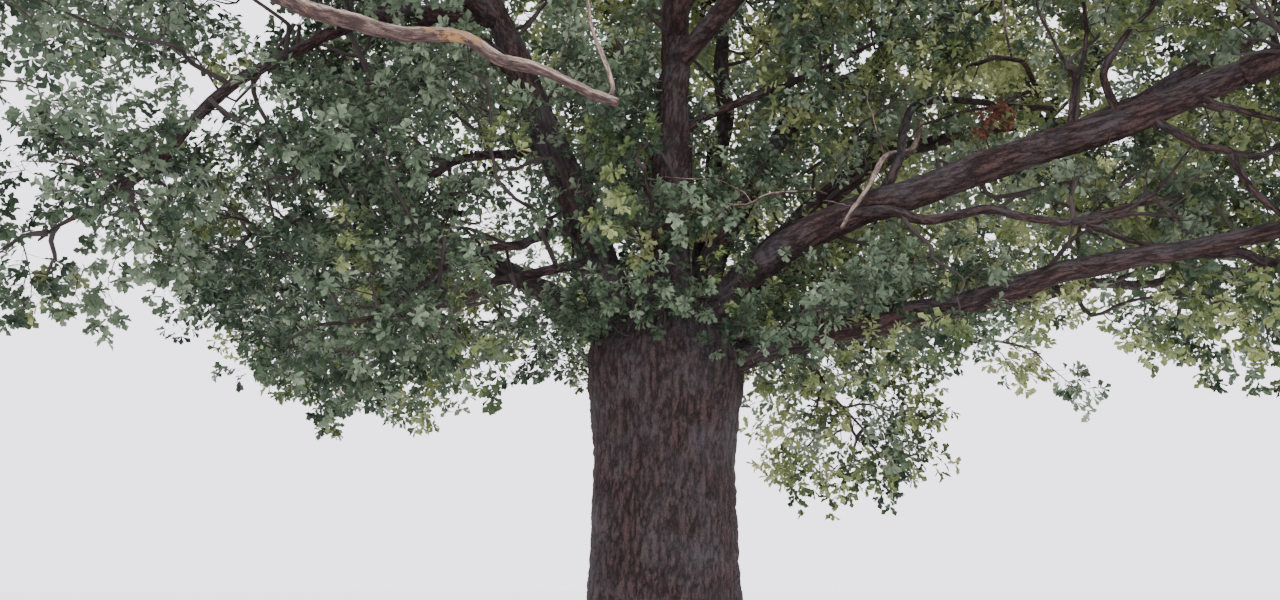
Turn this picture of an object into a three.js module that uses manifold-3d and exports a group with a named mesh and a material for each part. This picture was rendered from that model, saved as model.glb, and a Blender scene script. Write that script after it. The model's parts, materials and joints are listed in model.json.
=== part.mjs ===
// A mature field oak in full leaf: a short, massive trunk with a root flare, a
// fork from which crooked boughs spread, and masses of foliage at their tips.
// Millimetres and degrees, +Z up. The origin is the middle of the flat cut at
// the ground. Headings run anticlockwise from +X, as seen from above.
import * as THREE from "three";
import { mergeVertices } from "three/addons/utils/BufferGeometryUtils.js";
import Module from "manifold-3d";

const wasm = await Module();
wasm.setup();

// Driving sizes of the trunk
const TRUNK_HEIGHT = 5100;
const TRUNK_WAIST = 860;
const TRUNK_LEAN = 90;
const FLARE = 520;
const FLARE_FADE = 620;
const BUTTRESSES = 5;
const BUTTRESS_DEPTH = 0.15;
const BUTTRESS_FADE = 1300;
const FLUTES = 7;
const FLUTE_DEPTH = 0.03;
const HEAD_SWELL = 130;
const HEAD_START = 3000;
const SHOULDER = 4350;
const TRUNK_SIDES = 16;
const TRUNK_STEPS = 9;
const LEVEL_BELOW = 60;

// How limbs are made
const LIMB_STEPS = 8;
const BOUGH_SIDES = 7;
const BRANCH_SIDES = 5;
const BOUGH_THICKNESS = 175;
const CROOK_WAVES = 1.7;
const CROOK_LIFT = 0.6;
const CROOK_FADE_IN = 3;
const TAPER = 0.85;
const COLLAR = 0.3;
const COLLAR_REACH = 1.4;
const GAP = 0.3;

// How foliage is made. A leaf is larger than life: each stands for a spray.
const FLATNESS = 0.78;
const CENTRE_OUT = 0.7;
const TIPS_A_MASS = 16;
const TIPS_A_TWIG = 4;
const TIP_TRIES = 14;
const TIP_INNER = 0.72;
const STEM_THROUGH = 1.45;
const SIDE_SET_BACK = 0.55;
const TWIG_REACH = 0.6;
const TWIG_RADIUS = 26;
const PIPE_POWER = 0.45;
const LEAF_WIDTH = 0.55;
const LEAF_THICKNESS = 0.05;
const LEAF_LONGEST = 2200;
const SPACE_GAP = 60;
const LIMB_GAP = 40;
const SIMPLER_BY = 3;
const NECK_THINNER = 0.9;
const NECK_LENGTH = 3;
const FIRST_TWIG_AT = 0.04;
const LAST_TWIG_AT = 0.9;
const FIRST_LEAF_AT = 0.4;
const LEAVES_SPAN = 0.55;

const GOLDEN = 0.618034;
const UP = new THREE.Vector3(0, 0, 1);
const radians = THREE.MathUtils.degToRad;

// Each limb leaves its parent at a share of the parent's length, set aside from
// its middle, and settles from its first rise to its last.
const LIMBS = [
  { name: "leader", parent: "trunk", at: 0.9, aside: 60, heading: 60, turn: 30,
    rise: 88, last: 78, length: 8300, thick: 320, thin: 110, crook: 5 },
  { name: "left_stem", parent: "trunk", at: 0.83, aside: 480, heading: 186, turn: -12,
    rise: 77, last: 55, length: 8800, thick: 290, thin: 100, crook: 6 },
  { name: "right_bough", parent: "trunk", at: 0.88, aside: 350, heading: -5, turn: -34,
    rise: 70, last: 9, settle: 4, length: 7300, thick: 240, thin: 150, crook: 6 },
  { name: "back_stem", parent: "trunk", at: 0.9, aside: 600, heading: 58, turn: 20,
    rise: 62, last: 84, length: 6600, thick: 220, thin: 90, crook: 6 },
  { name: "upper_right", parent: "trunk", at: 0.93, aside: 420, heading: 38, turn: -18,
    rise: 76, last: 32, settle: 1.8, length: 9300, thick: 200, thin: 85, crook: 7 },
  { name: "mid_right", parent: "trunk", at: 0.92, aside: 480, heading: 24, turn: -2,
    rise: 56, last: 8, settle: 0.8, length: 7600, thick: 190, thin: 85, crook: 6 },
  { name: "low_right", parent: "trunk", at: 0.83, aside: 500, heading: -7, turn: -34,
    rise: 16, last: 2, length: 6600, thick: 180, thin: 90, crook: 7.5 },
  { name: "left_bough", parent: "left_stem", at: 0.5, heading: 184, turn: -4,
    rise: 34, last: 10, length: 5600, thick: 150, thin: 90, crook: 7 },
  { name: "back_bough", parent: "trunk", at: 0.88, aside: 400, heading: 96, turn: -14,
    rise: 46, last: 16, length: 7500, thick: 240, thin: 95, crook: 7 },
  { name: "back_left_bough", parent: "trunk", at: 0.84, aside: 450, heading: 134, turn: 0,
    rise: 42, last: 14, length: 7700, thick: 220, thin: 90, crook: 7 },
  { name: "back_right_bough", parent: "trunk", at: 0.84, aside: 450, heading: 58, turn: -14,
    rise: 42, last: 22, length: 7800, thick: 220, thin: 90, crook: 7 },
  { name: "right_fork", parent: "right_bough", at: 0.72, heading: -16, turn: 34,
    rise: 26, last: 30, length: 3100, thick: 120, thin: 70, crook: 7 },
  { name: "right_side", parent: "right_bough", at: 0.3, heading: -36, turn: 20,
    rise: 4, last: -14, length: 3000, thick: 95, thin: 45, crook: 26 },
  { name: "left_droop", parent: "left_stem", at: 0.6, heading: 214, turn: -4,
    rise: -8, last: -62, length: 5000, thick: 120, thin: 60, crook: 5 },
  { name: "left_upper_side", parent: "left_stem", at: 0.36, heading: 172, turn: -14,
    rise: 2, last: -22, length: 2600, thick: 85, thin: 45, crook: 14 },
  { name: "left_middle_side", parent: "left_stem", at: 0.22, heading: 146, turn: -4,
    rise: 10, last: -14, length: 3600, thick: 90, thin: 45, crook: 12 },
  { name: "left_lower_side", parent: "left_stem", at: 0.16, heading: 196, turn: 14,
    rise: -6, last: -34, length: 2300, thick: 80, thin: 40, crook: 10 },
  { name: "front_left_bough", parent: "left_stem", at: 0.6, heading: 236, turn: -2,
    rise: 4, last: -36, length: 7800, thick: 150, thin: 105, crook: 6 },
  { name: "bare_limb", parent: "front_left_bough", at: 0.74, heading: -20, turn: 23,
    rise: -60, last: -19, settle: 3, length: 5980, thick: 110, thin: 38, crook: 8 },
  { name: "front_bough", parent: "leader", at: 0.56, heading: -84, turn: 8,
    rise: 30, last: 2, length: 6500, thick: 170, thin: 80, crook: 6 },
  { name: "front_right_bough", parent: "leader", at: 0.5, heading: -48, turn: -2,
    rise: 28, last: -4, length: 7200, thick: 160, thin: 80, crook: 6 },
  { name: "high_right", parent: "leader", at: 0.62, heading: 8, turn: -4,
    rise: 58, last: 40, length: 3900, thick: 150, thin: 80, crook: 7 },
  { name: "high_front", parent: "leader", at: 0.66, heading: -96, turn: 6,
    rise: 56, last: 34, length: 3500, thick: 140, thin: 80, crook: 7 },
  { name: "high_back_left", parent: "left_stem", at: 0.52, heading: 112, turn: 4,
    rise: 50, last: 30, length: 4600, thick: 150, thin: 80, crook: 7 },
  { name: "high_front_left", parent: "left_stem", at: 0.72, heading: 250, turn: 8,
    rise: 44, last: 14, length: 3600, thick: 120, thin: 75, crook: 7 },
  { name: "low_left", parent: "left_bough", at: 0.85, heading: 214, turn: 10,
    rise: -20, last: -52, length: 3400, thick: 100, thin: 65, crook: 9 },
  { name: "outer_right", parent: "low_right", at: 0.42, heading: 16, turn: 2,
    rise: 14, last: 10, length: 4200, thick: 110, thin: 60, crook: 9 },
  { name: "hanging_right", parent: "back_right_bough", at: 0.2, heading: 34, turn: 16,
    rise: 2, last: -26, length: 2300, thick: 100, thin: 60, crook: 10 },
  { name: "inner_right", parent: "leader", at: 0.36, heading: 4, turn: -6,
    rise: 40, last: 18, length: 1700, thick: 90, thin: 55, crook: 8 },
  { name: "front_spur", parent: "leader", at: 0.12, heading: -100, turn: 0,
    rise: 20, last: -10, length: 800, thick: 60, thin: 40, crook: 8 },
];

// Each mass of foliage fills a flattened round space that starts at its limb's
// tip and lies out from it, with its own turn from the limb's last heading.
const MASSES = [
  { name: "crown_top", on: "leader", radius: 3400, lean: 84 },
  { name: "crown_top_left", on: "left_stem", radius: 3500, lean: 48 },
  { name: "crown_top_back", on: "back_stem", radius: 3600, lean: 46 },
  { name: "crown_top_right", on: "high_right", radius: 3400, lean: 32 },
  { name: "crown_top_front", on: "high_front", radius: 3400, lean: 34 },
  { name: "high_back_left_foliage", on: "high_back_left", radius: 3600, lean: 20 },
  { name: "high_front_left_foliage", on: "high_front_left", radius: 3400, lean: 12 },
  { name: "upper_right_foliage", on: "upper_right", radius: 3400, lean: 26 },
  { name: "left_foliage", on: "left_bough", radius: 3300, lean: 18 },
  { name: "front_left_foliage", on: "front_left_bough", radius: 3200, lean: -8 },
  { name: "front_foliage", on: "front_bough", radius: 3300, lean: 0 },
  { name: "front_right_foliage", on: "front_right_bough", radius: 3300, lean: -8 },
  { name: "mid_right_foliage", on: "mid_right", radius: 3100, lean: 8 },
  { name: "right_foliage", on: "right_bough", radius: 2900, lean: 10 },
  { name: "right_fork_foliage", on: "right_fork", radius: 2900, lean: 24 },
  { name: "back_foliage", on: "back_bough", radius: 3800, lean: 14 },
  { name: "back_left_foliage", on: "back_left_bough", radius: 3800, lean: 12 },
  { name: "back_right_foliage", on: "back_right_bough", radius: 3800, lean: 14 },
  { name: "low_right_foliage", on: "low_right", radius: 1900, lean: -6 },
  { name: "outer_right_foliage", on: "outer_right", radius: 2500, lean: 8 },
  { name: "right_side_foliage", on: "right_side", radius: 1400, lean: 6 },
  { name: "left_upper_foliage", on: "left_upper_side", radius: 2100, lean: -14 },
  { name: "left_middle_foliage", on: "left_middle_side", radius: 2400, lean: -10 },
  { name: "left_lower_foliage", on: "left_lower_side", radius: 1500, lean: -16 },
  { name: "left_droop_foliage", on: "left_droop", radius: 1700, lean: -50 },
  { name: "low_left_foliage", on: "low_left", radius: 2800, lean: -16 },
  { name: "hanging_right_foliage", on: "hanging_right", radius: 2000, lean: -24 },
  { name: "inner_right_foliage", on: "inner_right", radius: 1900, lean: 24 },
  { name: "front_spur_foliage", on: "front_spur", radius: 1300, lean: 30 },
];

// The same seed gives the same row of random numbers from 0 to 1.
function seeded(seed) {
  let state = seed;
  return () => {
    state = (Math.imul(state, 1664525) + 1013904223) >>> 0;
    return state / 2 ** 32;
  };
}

function direction(heading, rise) {
  const [h, r] = [radians(heading), radians(rise)];
  return new THREE.Vector3(Math.cos(r) * Math.cos(h), Math.cos(r) * Math.sin(h), Math.sin(r));
}

function trunkAxis(share) {
  return new THREE.Vector3(TRUNK_LEAN * share ** 2, 0, TRUNK_HEIGHT * share);
}

// The trunk's radius: waist, flare at the roots, swollen head and domed shoulders,
// with buttresses that fade upwards and shallow flutes all the way up.
function trunkRadius(height, angle) {
  const swell = HEAD_SWELL * THREE.MathUtils.smoothstep(height, HEAD_START, SHOULDER);
  const up = Math.max(0, (height - SHOULDER) / (TRUNK_HEIGHT - SHOULDER));
  const dome = Math.sqrt(1 - 0.8 * up * up);
  const round = (TRUNK_WAIST + FLARE * Math.exp(-height / FLARE_FADE) + swell) * dome;
  const buttress = BUTTRESS_DEPTH * Math.exp(-height / BUTTRESS_FADE)
    * Math.cos(BUTTRESSES * angle + 0.7 * Math.sin(2 * angle));
  return round * (1 + buttress + FLUTE_DEPTH * Math.cos(FLUTES * angle + 1));
}

// A limb's middle line, walked step by step from its parent's.
function walk(limb, order) {
  const from = limb.parent === "trunk" ? trunkAxis(limb.at) : along(lines[limb.parent], limb.at);
  const points = [from.clone().addScaledVector(direction(limb.heading, 0), limb.aside ?? 0)];
  for (let i = 0; i < LIMB_STEPS; i++) {
    const share = (i + 0.5) / LIMB_STEPS;
    const wave = 2 * Math.PI * (CROOK_WAVES * share + GOLDEN * order);
    const crook = limb.crook * Math.min(1, CROOK_FADE_IN * share);
    const heading = limb.heading + limb.turn * share + crook * Math.sin(wave);
    const settled = (1 - share) ** (limb.settle ?? 1.2);
    const rise = limb.last + (limb.rise - limb.last) * settled + CROOK_LIFT * crook * Math.cos(1.3 * wave);
    points.push(points[i].clone().addScaledVector(direction(heading, rise), limb.length / LIMB_STEPS));
  }
  return points;
}

function along(line, share) {
  const place = share * (line.length - 1);
  const i = Math.min(Math.floor(place), line.length - 2);
  return line[i].clone().lerp(line[i + 1], place - i);
}

function limbRadius(limb, share) {
  const collar = COLLAR * limb.thick * Math.exp((-share * limb.length) / (COLLAR_REACH * limb.thick));
  return limb.thin + (limb.thick - limb.thin) * (1 - share) ** TAPER + collar;
}

// A closed cylinder bent along a middle line and grown by extra all over.
// radiusAt gives the radius at a share of the length and an angle round it.
function tube(middleLine, sides, extra, radiusAt) {
  const steps = middleLine.length - 1;
  const geometry = new THREE.CylinderGeometry(1, 1, 1, sides, steps);
  const tangents = middleLine.map((_, i) => {
    return middleLine[Math.min(i + 1, steps)].clone().sub(middleLine[Math.max(i - 1, 0)]).normalize();
  });
  const line = middleLine.map((point) => point.clone());
  line[0].addScaledVector(tangents[0], -extra);
  line[steps].addScaledVector(tangents[steps], extra);
  const side = new THREE.Vector3(0, 1, 0).cross(tangents[0]).normalize();
  const sideways = [side.clone()];
  const turn = new THREE.Quaternion();
  for (let i = 1; i <= steps; i++) {
    turn.setFromUnitVectors(tangents[i - 1], tangents[i]);
    sideways.push(side.applyQuaternion(turn).clone());
  }
  const position = geometry.getAttribute("position");
  const p = new THREE.Vector3();
  for (let k = 0; k < position.count; k++) {
    p.fromBufferAttribute(position, k);
    const i = Math.round((p.y + 0.5) * steps);
    const angle = Math.atan2(p.z, p.x);
    const reach = Math.hypot(p.x, p.z) * (radiusAt(i / steps, angle) + extra);
    const across = tangents[i].clone().cross(sideways[i]);
    p.copy(line[i]).addScaledVector(sideways[i], reach * Math.cos(angle));
    p.addScaledVector(across, reach * Math.sin(-angle));
    position.setXYZ(k, p.x, p.y, p.z);
  }
  return geometry;
}

function solid(geometry) {
  const bare = geometry.clone();
  bare.deleteAttribute("normal");
  bare.deleteAttribute("uv");
  const merged = mergeVertices(bare, 1e-3);
  return new wasm.Manifold(new wasm.Mesh({
    numProp: 3,
    vertProperties: new Float32Array(merged.getAttribute("position").array),
    triVerts: new Uint32Array(merged.index.array),
  }));
}

// The largest piece of a solid, with any hollow that fusing sealed filled.
function largest(made) {
  return made.decompose().sort((a, b) => b.volume() - a.volume())[0];
}

// The trunk's lowest ring is level, so that it stands on a flat cut.
function trunkSolid(extra) {
  const levels = Array.from({ length: TRUNK_STEPS + 1 }, (_, i) => (i / TRUNK_STEPS) ** 1.25);
  const upright = tube(levels.map(trunkAxis), TRUNK_SIDES, extra, (share, angle) => {
    return trunkRadius(TRUNK_HEIGHT * levels[Math.round(share * TRUNK_STEPS)], angle);
  });
  const position = upright.getAttribute("position");
  for (let k = 0; k < position.count; k++) {
    if (position.getZ(k) < LEVEL_BELOW) position.setZ(k, -extra);
  }
  return solid(upright);
}

function limbSolid(limb, extra) {
  const sides = limb.thick > BOUGH_THICKNESS ? BOUGH_SIDES : BRANCH_SIDES;
  return solid(tube(lines[limb.name], sides, extra, (share) => limbRadius(limb, share)));
}

// Middle lines of all the limbs, and the round space of each mass
const lines = {};
LIMBS.forEach((limb, order) => {
  lines[limb.name] = walk(limb, order);
});

function tipDirection(name) {
  const line = lines[name];
  return line[LIMB_STEPS].clone().sub(line[LIMB_STEPS - 1]).normalize();
}

const spaces = MASSES.map((mass) => {
  const tip = lines[mass.on][LIMB_STEPS];
  const out = tipDirection(mass.on).setZ(0).normalize();
  const lean = radians(mass.lean);
  const centre = tip.clone()
    .addScaledVector(out, CENTRE_OUT * mass.radius * Math.cos(lean))
    .addScaledVector(UP, CENTRE_OUT * mass.radius * Math.sin(lean));
  return { ...mass, tip, centre };
});

// Places are measured with heights stretched, so that a flattened space is a
// ball and the border between two spaces is a plane.
function stretched(point) {
  return new THREE.Vector3(point.x, point.y, point.z / FLATNESS);
}

function power(point, space) {
  return stretched(point).distanceToSquared(stretched(space.centre)) - space.radius ** 2;
}

// How far a point lies inside a mass's own space, next to every other space.
function roomIn(space, point) {
  const own = power(point, space);
  return Math.min(...spaces.filter((other) => other !== space).map((other) => {
    const apart = stretched(other.centre).distanceTo(stretched(space.centre));
    return (power(point, other) - own) / (2 * apart);
  }));
}

// The clearance between a stretch from a to b and the nearest limb.
function limbClearance(a, b, except) {
  let least = Infinity;
  const nearest = new THREE.Vector3();
  const seen = new THREE.Vector3();
  for (const limb of LIMBS.filter((other) => other.name !== except)) {
    const line = lines[limb.name];
    for (let i = 0; i < LIMB_STEPS; i++) {
      const piece = new THREE.Line3(line[i], line[i + 1]);
      const radius = limbRadius(limb, i / LIMB_STEPS);
      for (let k = 0; k <= 6; k++) {
        seen.lerpVectors(a, b, k / 6);
        piece.closestPointToPoint(seen, true, nearest);
        least = Math.min(least, nearest.distanceTo(seen) - radius);
      }
    }
  }
  return least;
}

// Tips of the leaves: spread evenly near the outside of the mass's own space.
function scatter(space, random) {
  const tips = [];
  while (tips.length < TIPS_A_MASS) {
    let best = null;
    let bestGap = -1;
    for (let k = 0; k < TIP_TRIES; k++) {
      const height = 2 * random() - 1;
      const angle = 2 * Math.PI * random();
      const ring = Math.sqrt(1 - height * height);
      const reach = space.radius * (TIP_INNER + (1 - TIP_INNER) * random());
      const point = new THREE.Vector3(ring * Math.cos(angle), ring * Math.sin(angle), height * FLATNESS)
        .multiplyScalar(reach).add(space.centre);
      if (roomIn(space, point) < SPACE_GAP) continue;
      const gap = Math.min(...tips.map((tip) => tip.distanceTo(point)), 2 * space.radius);
      if (gap > bestGap) [best, bestGap] = [point, gap];
    }
    if (best) tips.push(best);
  }
  return tips;
}

function middle(points) {
  const sum = points.reduce((total, p) => total.add(p), new THREE.Vector3());
  return sum.divideScalar(points.length);
}

// Halves a set of tips across its widest direction.
function halves(tips) {
  const box = new THREE.Box3().setFromPoints(tips).getSize(new THREE.Vector3());
  const widest = ["x", "y", "z"].sort((a, b) => box[b] - box[a])[0];
  const sorted = [...tips].sort((a, b) => a[widest] - b[widest]);
  const half = Math.ceil(sorted.length / 2);
  return [sorted.slice(0, half), sorted.slice(half)];
}

function groups(tips) {
  return tips.length <= TIPS_A_TWIG ? [tips] : halves(tips).flatMap(groups);
}

function between(a, b) {
  const axis = b.clone().sub(a);
  return new THREE.Matrix4().compose(
    a.clone().lerp(b, 0.5),
    new THREE.Quaternion().setFromUnitVectors(new THREE.Vector3(0, 1, 0), axis.clone().normalize()),
    new THREE.Vector3(1, axis.length(), 1),
  );
}

function twigSolid(a, b, thick, thin) {
  return solid(new THREE.CylinderGeometry(thin, thick, 1, 3, 1).applyMatrix4(between(a, b)));
}

// A leaf is a folded blade: its midrib runs from its root to its tip, and its
// two edges are widest halfway and hang a little lower.
function leafSolid(root, tip) {
  const rib = tip.clone().sub(root);
  const length = rib.length();
  const across = rib.clone().cross(UP).normalize();
  const face = across.clone().cross(rib).normalize();
  const half = rib.multiplyScalar(0.5);
  const wing = across.multiplyScalar((LEAF_WIDTH * length) / 2);
  const fold = face.multiplyScalar((LEAF_THICKNESS * length) / 2);
  const placed = new THREE.Matrix4().makeBasis(
    half.clone().add(wing).multiplyScalar(0.5),
    half.clone().sub(wing).multiplyScalar(0.5),
    fold,
  ).setPosition(root.clone().add(half).sub(fold));
  return solid(new THREE.TetrahedronGeometry(Math.sqrt(3), 0).applyMatrix4(placed));
}

// A mass: a stem runs through it from the limb's tip, side twigs leave the stem
// towards their share of the tips, and each twig's leaves end at those tips.
function massSolid(space, order) {
  const random = seeded(order + 11);
  const limb = LIMBS.find((one) => one.name === space.on);
  const root = space.tip.clone().addScaledVector(tipDirection(space.on), GAP);
  const neck = space.tip.clone().addScaledVector(tipDirection(space.on), NECK_LENGTH * limb.thin);
  const end = neck.clone().lerp(space.centre, STEM_THROUGH);
  const stem = end.clone().sub(neck);
  const length = stem.length();
  stem.normalize();
  const thinner = NECK_THINNER * limb.thin;
  const pieces = [
    twigSolid(root, neck, limb.thin, thinner),
    twigSolid(neck.clone().addScaledVector(stem, -limb.thin / 2), end, thinner, TWIG_RADIUS),
  ];
  let skipped = 0;
  for (const tips of groups(scatter(space, random))) {
    const centre = middle(tips);
    const ahead = centre.clone().sub(neck).dot(stem);
    const off = neck.clone().addScaledVector(stem, ahead).distanceTo(centre);
    const place = (ahead - SIDE_SET_BACK * off) / length;
    const leaves = length * THREE.MathUtils.clamp(place, FIRST_TWIG_AT, LAST_TWIG_AT);
    const from = neck.clone().addScaledVector(stem, leaves);
    const to = from.clone().lerp(centre, TWIG_REACH);
    const thick = TWIG_RADIUS * tips.length ** PIPE_POWER;
    if (limbClearance(from, to, space.on) < thick + LIMB_GAP || roomIn(space, to) < SPACE_GAP) {
      skipped += tips.length;
      continue;
    }
    pieces.push(twigSolid(from, to, thick, TWIG_RADIUS));
    tips.forEach((tip, k) => {
      const base = from.clone().lerp(to, FIRST_LEAF_AT + (LEAVES_SPAN * (k + 1)) / tips.length);
      const reach = Math.min(1, LEAF_LONGEST / base.distanceTo(tip));
      const point = base.clone().lerp(tip, reach);
      const half = (LEAF_WIDTH / 2) * base.distanceTo(point);
      const wide = base.clone().lerp(point, 0.5);
      if (limbClearance(base, point, "") < half + LIMB_GAP || roomIn(space, wide) < half + SPACE_GAP / 2) {
        skipped += 1;
        return;
      }
      pieces.push(leafSolid(base, point));
    });
  }
  if (skipped > TIPS_A_MASS / 3) console.log(space.name + " skips " + skipped + " leaves");
  return largest(wasm.Manifold.union(pieces).simplify(SIMPLER_BY));
}

const BARK = new THREE.MeshStandardMaterial({ color: 0x5a463a, roughness: 0.95, metalness: 0 });
const PALE_BARK = new THREE.MeshStandardMaterial({ color: 0x9a7f6a, roughness: 0.95, metalness: 0 });
const LEAVES = new THREE.MeshStandardMaterial({ color: 0x3f5a35, roughness: 0.7, metalness: 0 });

const oak = new THREE.Group();

function add(name, made, material) {
  const { vertProperties, triVerts } = made.getMesh();
  const geometry = new THREE.BufferGeometry();
  geometry.setAttribute("position", new THREE.BufferAttribute(vertProperties, 3));
  geometry.setIndex(new THREE.BufferAttribute(triVerts, 1));
  const mesh = new THREE.Mesh(geometry, material);
  mesh.name = name;
  oak.add(mesh);
}

// Trunk first, then each limb cut clear of the trunk and of the limbs before it
add("trunk", trunkSolid(0), BARK);
const grown = [trunkSolid(GAP)];
for (const limb of LIMBS) {
  const cut = wasm.Manifold.union(grown);
  add(limb.name, largest(limbSolid(limb, 0).subtract(cut)), limb.name === "bare_limb" ? PALE_BARK : BARK);
  grown.push(limbSolid(limb, GAP));
}
spaces.forEach((space, order) => add(space.name, massSolid(space, order), LEAVES));

export default oak;
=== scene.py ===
# A mature field oak in full leaf, seen from under the edge of its crown.
# Metres and degrees, +Z up. Headings run anticlockwise from +X, as seen from above.
import json
import math
from collections import namedtuple

import bpy
import numpy as np
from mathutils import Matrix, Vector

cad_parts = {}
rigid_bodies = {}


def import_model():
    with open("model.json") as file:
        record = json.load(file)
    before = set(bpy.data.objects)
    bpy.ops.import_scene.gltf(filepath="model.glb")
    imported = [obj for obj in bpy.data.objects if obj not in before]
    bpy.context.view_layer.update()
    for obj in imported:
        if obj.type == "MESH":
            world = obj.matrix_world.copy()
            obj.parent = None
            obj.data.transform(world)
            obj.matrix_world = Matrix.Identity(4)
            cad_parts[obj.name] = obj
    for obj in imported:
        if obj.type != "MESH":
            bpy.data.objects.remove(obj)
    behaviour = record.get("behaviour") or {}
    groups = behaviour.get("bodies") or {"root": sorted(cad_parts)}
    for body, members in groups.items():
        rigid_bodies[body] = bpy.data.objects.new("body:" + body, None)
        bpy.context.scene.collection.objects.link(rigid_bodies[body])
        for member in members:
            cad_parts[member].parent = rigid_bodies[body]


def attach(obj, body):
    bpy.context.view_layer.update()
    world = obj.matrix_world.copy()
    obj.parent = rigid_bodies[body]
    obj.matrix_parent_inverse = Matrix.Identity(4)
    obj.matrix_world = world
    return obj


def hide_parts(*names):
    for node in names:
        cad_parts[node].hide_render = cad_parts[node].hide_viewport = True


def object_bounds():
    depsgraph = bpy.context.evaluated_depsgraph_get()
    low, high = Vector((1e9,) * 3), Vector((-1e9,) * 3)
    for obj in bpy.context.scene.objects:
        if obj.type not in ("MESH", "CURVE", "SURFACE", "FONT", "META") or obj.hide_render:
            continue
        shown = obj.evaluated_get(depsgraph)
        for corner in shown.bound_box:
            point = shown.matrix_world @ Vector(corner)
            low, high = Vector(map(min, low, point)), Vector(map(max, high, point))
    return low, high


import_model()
cad_box = [list(corner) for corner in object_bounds()]

# The camera is a phone held at head height, twelve metres in front of the trunk, and tilted
# up into the crown. Its focal length is known in pixels of the 1280 pixel wide photograph.
PHOTO_WIDTH = 1280
PHOTO_HEIGHT = 600
FOCAL_PIXELS = 970
CAMERA_PLACE = np.array([-0.25, -12.0, 1.6])
CAMERA_PITCH = math.radians(16.5)
CAMERA_SIGHT = 2000
LEAST_AHEAD = 0.5
LENS_RIGHT = np.array([1, 0, 0])
LENS_AHEAD = np.array([0, math.cos(CAMERA_PITCH), math.sin(CAMERA_PITCH)])
LENS_UP = np.array([0, -math.sin(CAMERA_PITCH), math.cos(CAMERA_PITCH)])
bpy.ops.object.camera_add(location=tuple(CAMERA_PLACE), rotation=(math.pi / 2 + CAMERA_PITCH, 0, 0))
camera = bpy.context.object
camera.data.lens = camera.data.sensor_width * FOCAL_PIXELS / PHOTO_WIDTH
camera.data.clip_end = CAMERA_SIGHT
bpy.context.scene.camera = camera


def seen_at(across, down, depth):
    """The place at a depth along +Y that the camera sees at a pixel of the photograph."""
    right, up = (across - PHOTO_WIDTH / 2) / FOCAL_PIXELS, (PHOTO_HEIGHT / 2 - down) / FOCAL_PIXELS
    ray = LENS_AHEAD + right * LENS_RIGHT + up * LENS_UP
    return CAMERA_PLACE + ray * (depth - CAMERA_PLACE[1]) / ray[1]


def pixels_of(places):
    """Where places fall in the photograph, in pixels, and how far ahead of the camera they are."""
    from_lens = places - CAMERA_PLACE
    ahead = from_lens @ LENS_AHEAD
    scale = FOCAL_PIXELS / np.where(ahead > LEAST_AHEAD, ahead, np.nan)
    across = PHOTO_WIDTH / 2 + scale * (from_lens @ LENS_RIGHT)
    return across, PHOTO_HEIGHT / 2 - scale * (from_lens @ LENS_UP), ahead


# The sky is an even, pale lilac white, as on a bright overcast day, and a wide soft sun
# stands high behind the crown's right side, so that the near foliage is in shade.
SKY_COLOUR = (0.85, 0.83, 0.91, 1)
SKY_STRENGTH = 3.4
SUN_TILT = (math.radians(-38), math.radians(24), 0)
SUN_STRENGTH = 3.0
SUN_WIDTH = math.radians(18)
SUN_COLOUR = (1.0, 0.96, 0.88)
sky = bpy.data.worlds.new("pale sky")
sky.use_nodes = True
sky.node_tree.nodes["Background"].inputs["Color"].default_value = SKY_COLOUR
sky.node_tree.nodes["Background"].inputs["Strength"].default_value = SKY_STRENGTH
bpy.context.scene.world = sky
bpy.ops.object.light_add(type="SUN", rotation=SUN_TILT)
sun = bpy.context.object
sun.data.energy = SUN_STRENGTH
sun.data.angle = SUN_WIDTH
sun.data.color = SUN_COLOUR

# The floor is a plain pale disc that runs out to the horizon. It isn't part of the tree, and is
# there to stage it.
FLOOR_RADIUS = 400
FLOOR_SIDES = 96
FLOOR_COLOUR = (0.74, 0.73, 0.75, 1)


def node_maker(tree):
    """Adds nodes to a tree: names in small letters are properties, others sockets or their numbers.

    Shader nodes go by their short kind. A node that exists already can be given as the kind.
    """
    def add(kind, **given):
        if isinstance(kind, str):
            node = tree.nodes.new(kind if "Node" in kind else "ShaderNode" + kind)
        else:
            node = kind
        for key, value in given.items():
            if key[0].islower():
                setattr(node, key, value)
                continue
            socket = node.inputs[int(key[1:]) if key[0] == "_" else key.replace("_", " ")]
            if isinstance(value, bpy.types.Node):
                value = value.outputs[0]
            if isinstance(value, bpy.types.NodeSocket):
                tree.links.new(value, socket)
            else:
                socket.default_value = value
        return node
    return add


def new_material(name, **sockets):
    """A material, with those sockets of its shader that are the same all over."""
    material = bpy.data.materials.new(name)
    material.use_nodes = True
    node_maker(material.node_tree)(material.node_tree.nodes["Principled BSDF"], **sockets)
    return material


bpy.ops.mesh.primitive_circle_add(vertices=FLOOR_SIDES, radius=FLOOR_RADIUS, fill_type="NGON")
floor = bpy.context.object
floor.name = "floor"
floor.data.materials.append(new_material("pale floor", Base_Color=FLOOR_COLOUR, Roughness=0.9))

# Old oak bark is a net of long grey ridges with dark fissures between them. Its relief is real
# geometry: a net of stretched cells, on coordinates that follow the limb as if it were straight.
RIDGE_WIDTH = 0.1
RIDGE_LENGTH = 0.62
FINE_RIDGES = 2.1
WARP_SIZE = 0.4
WARP_REACH = 0.09
SCALES_A_METRE = (34, 34, 11)
PATCH_REACH = 0.42
PATCH_GAIN = 0.15

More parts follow.
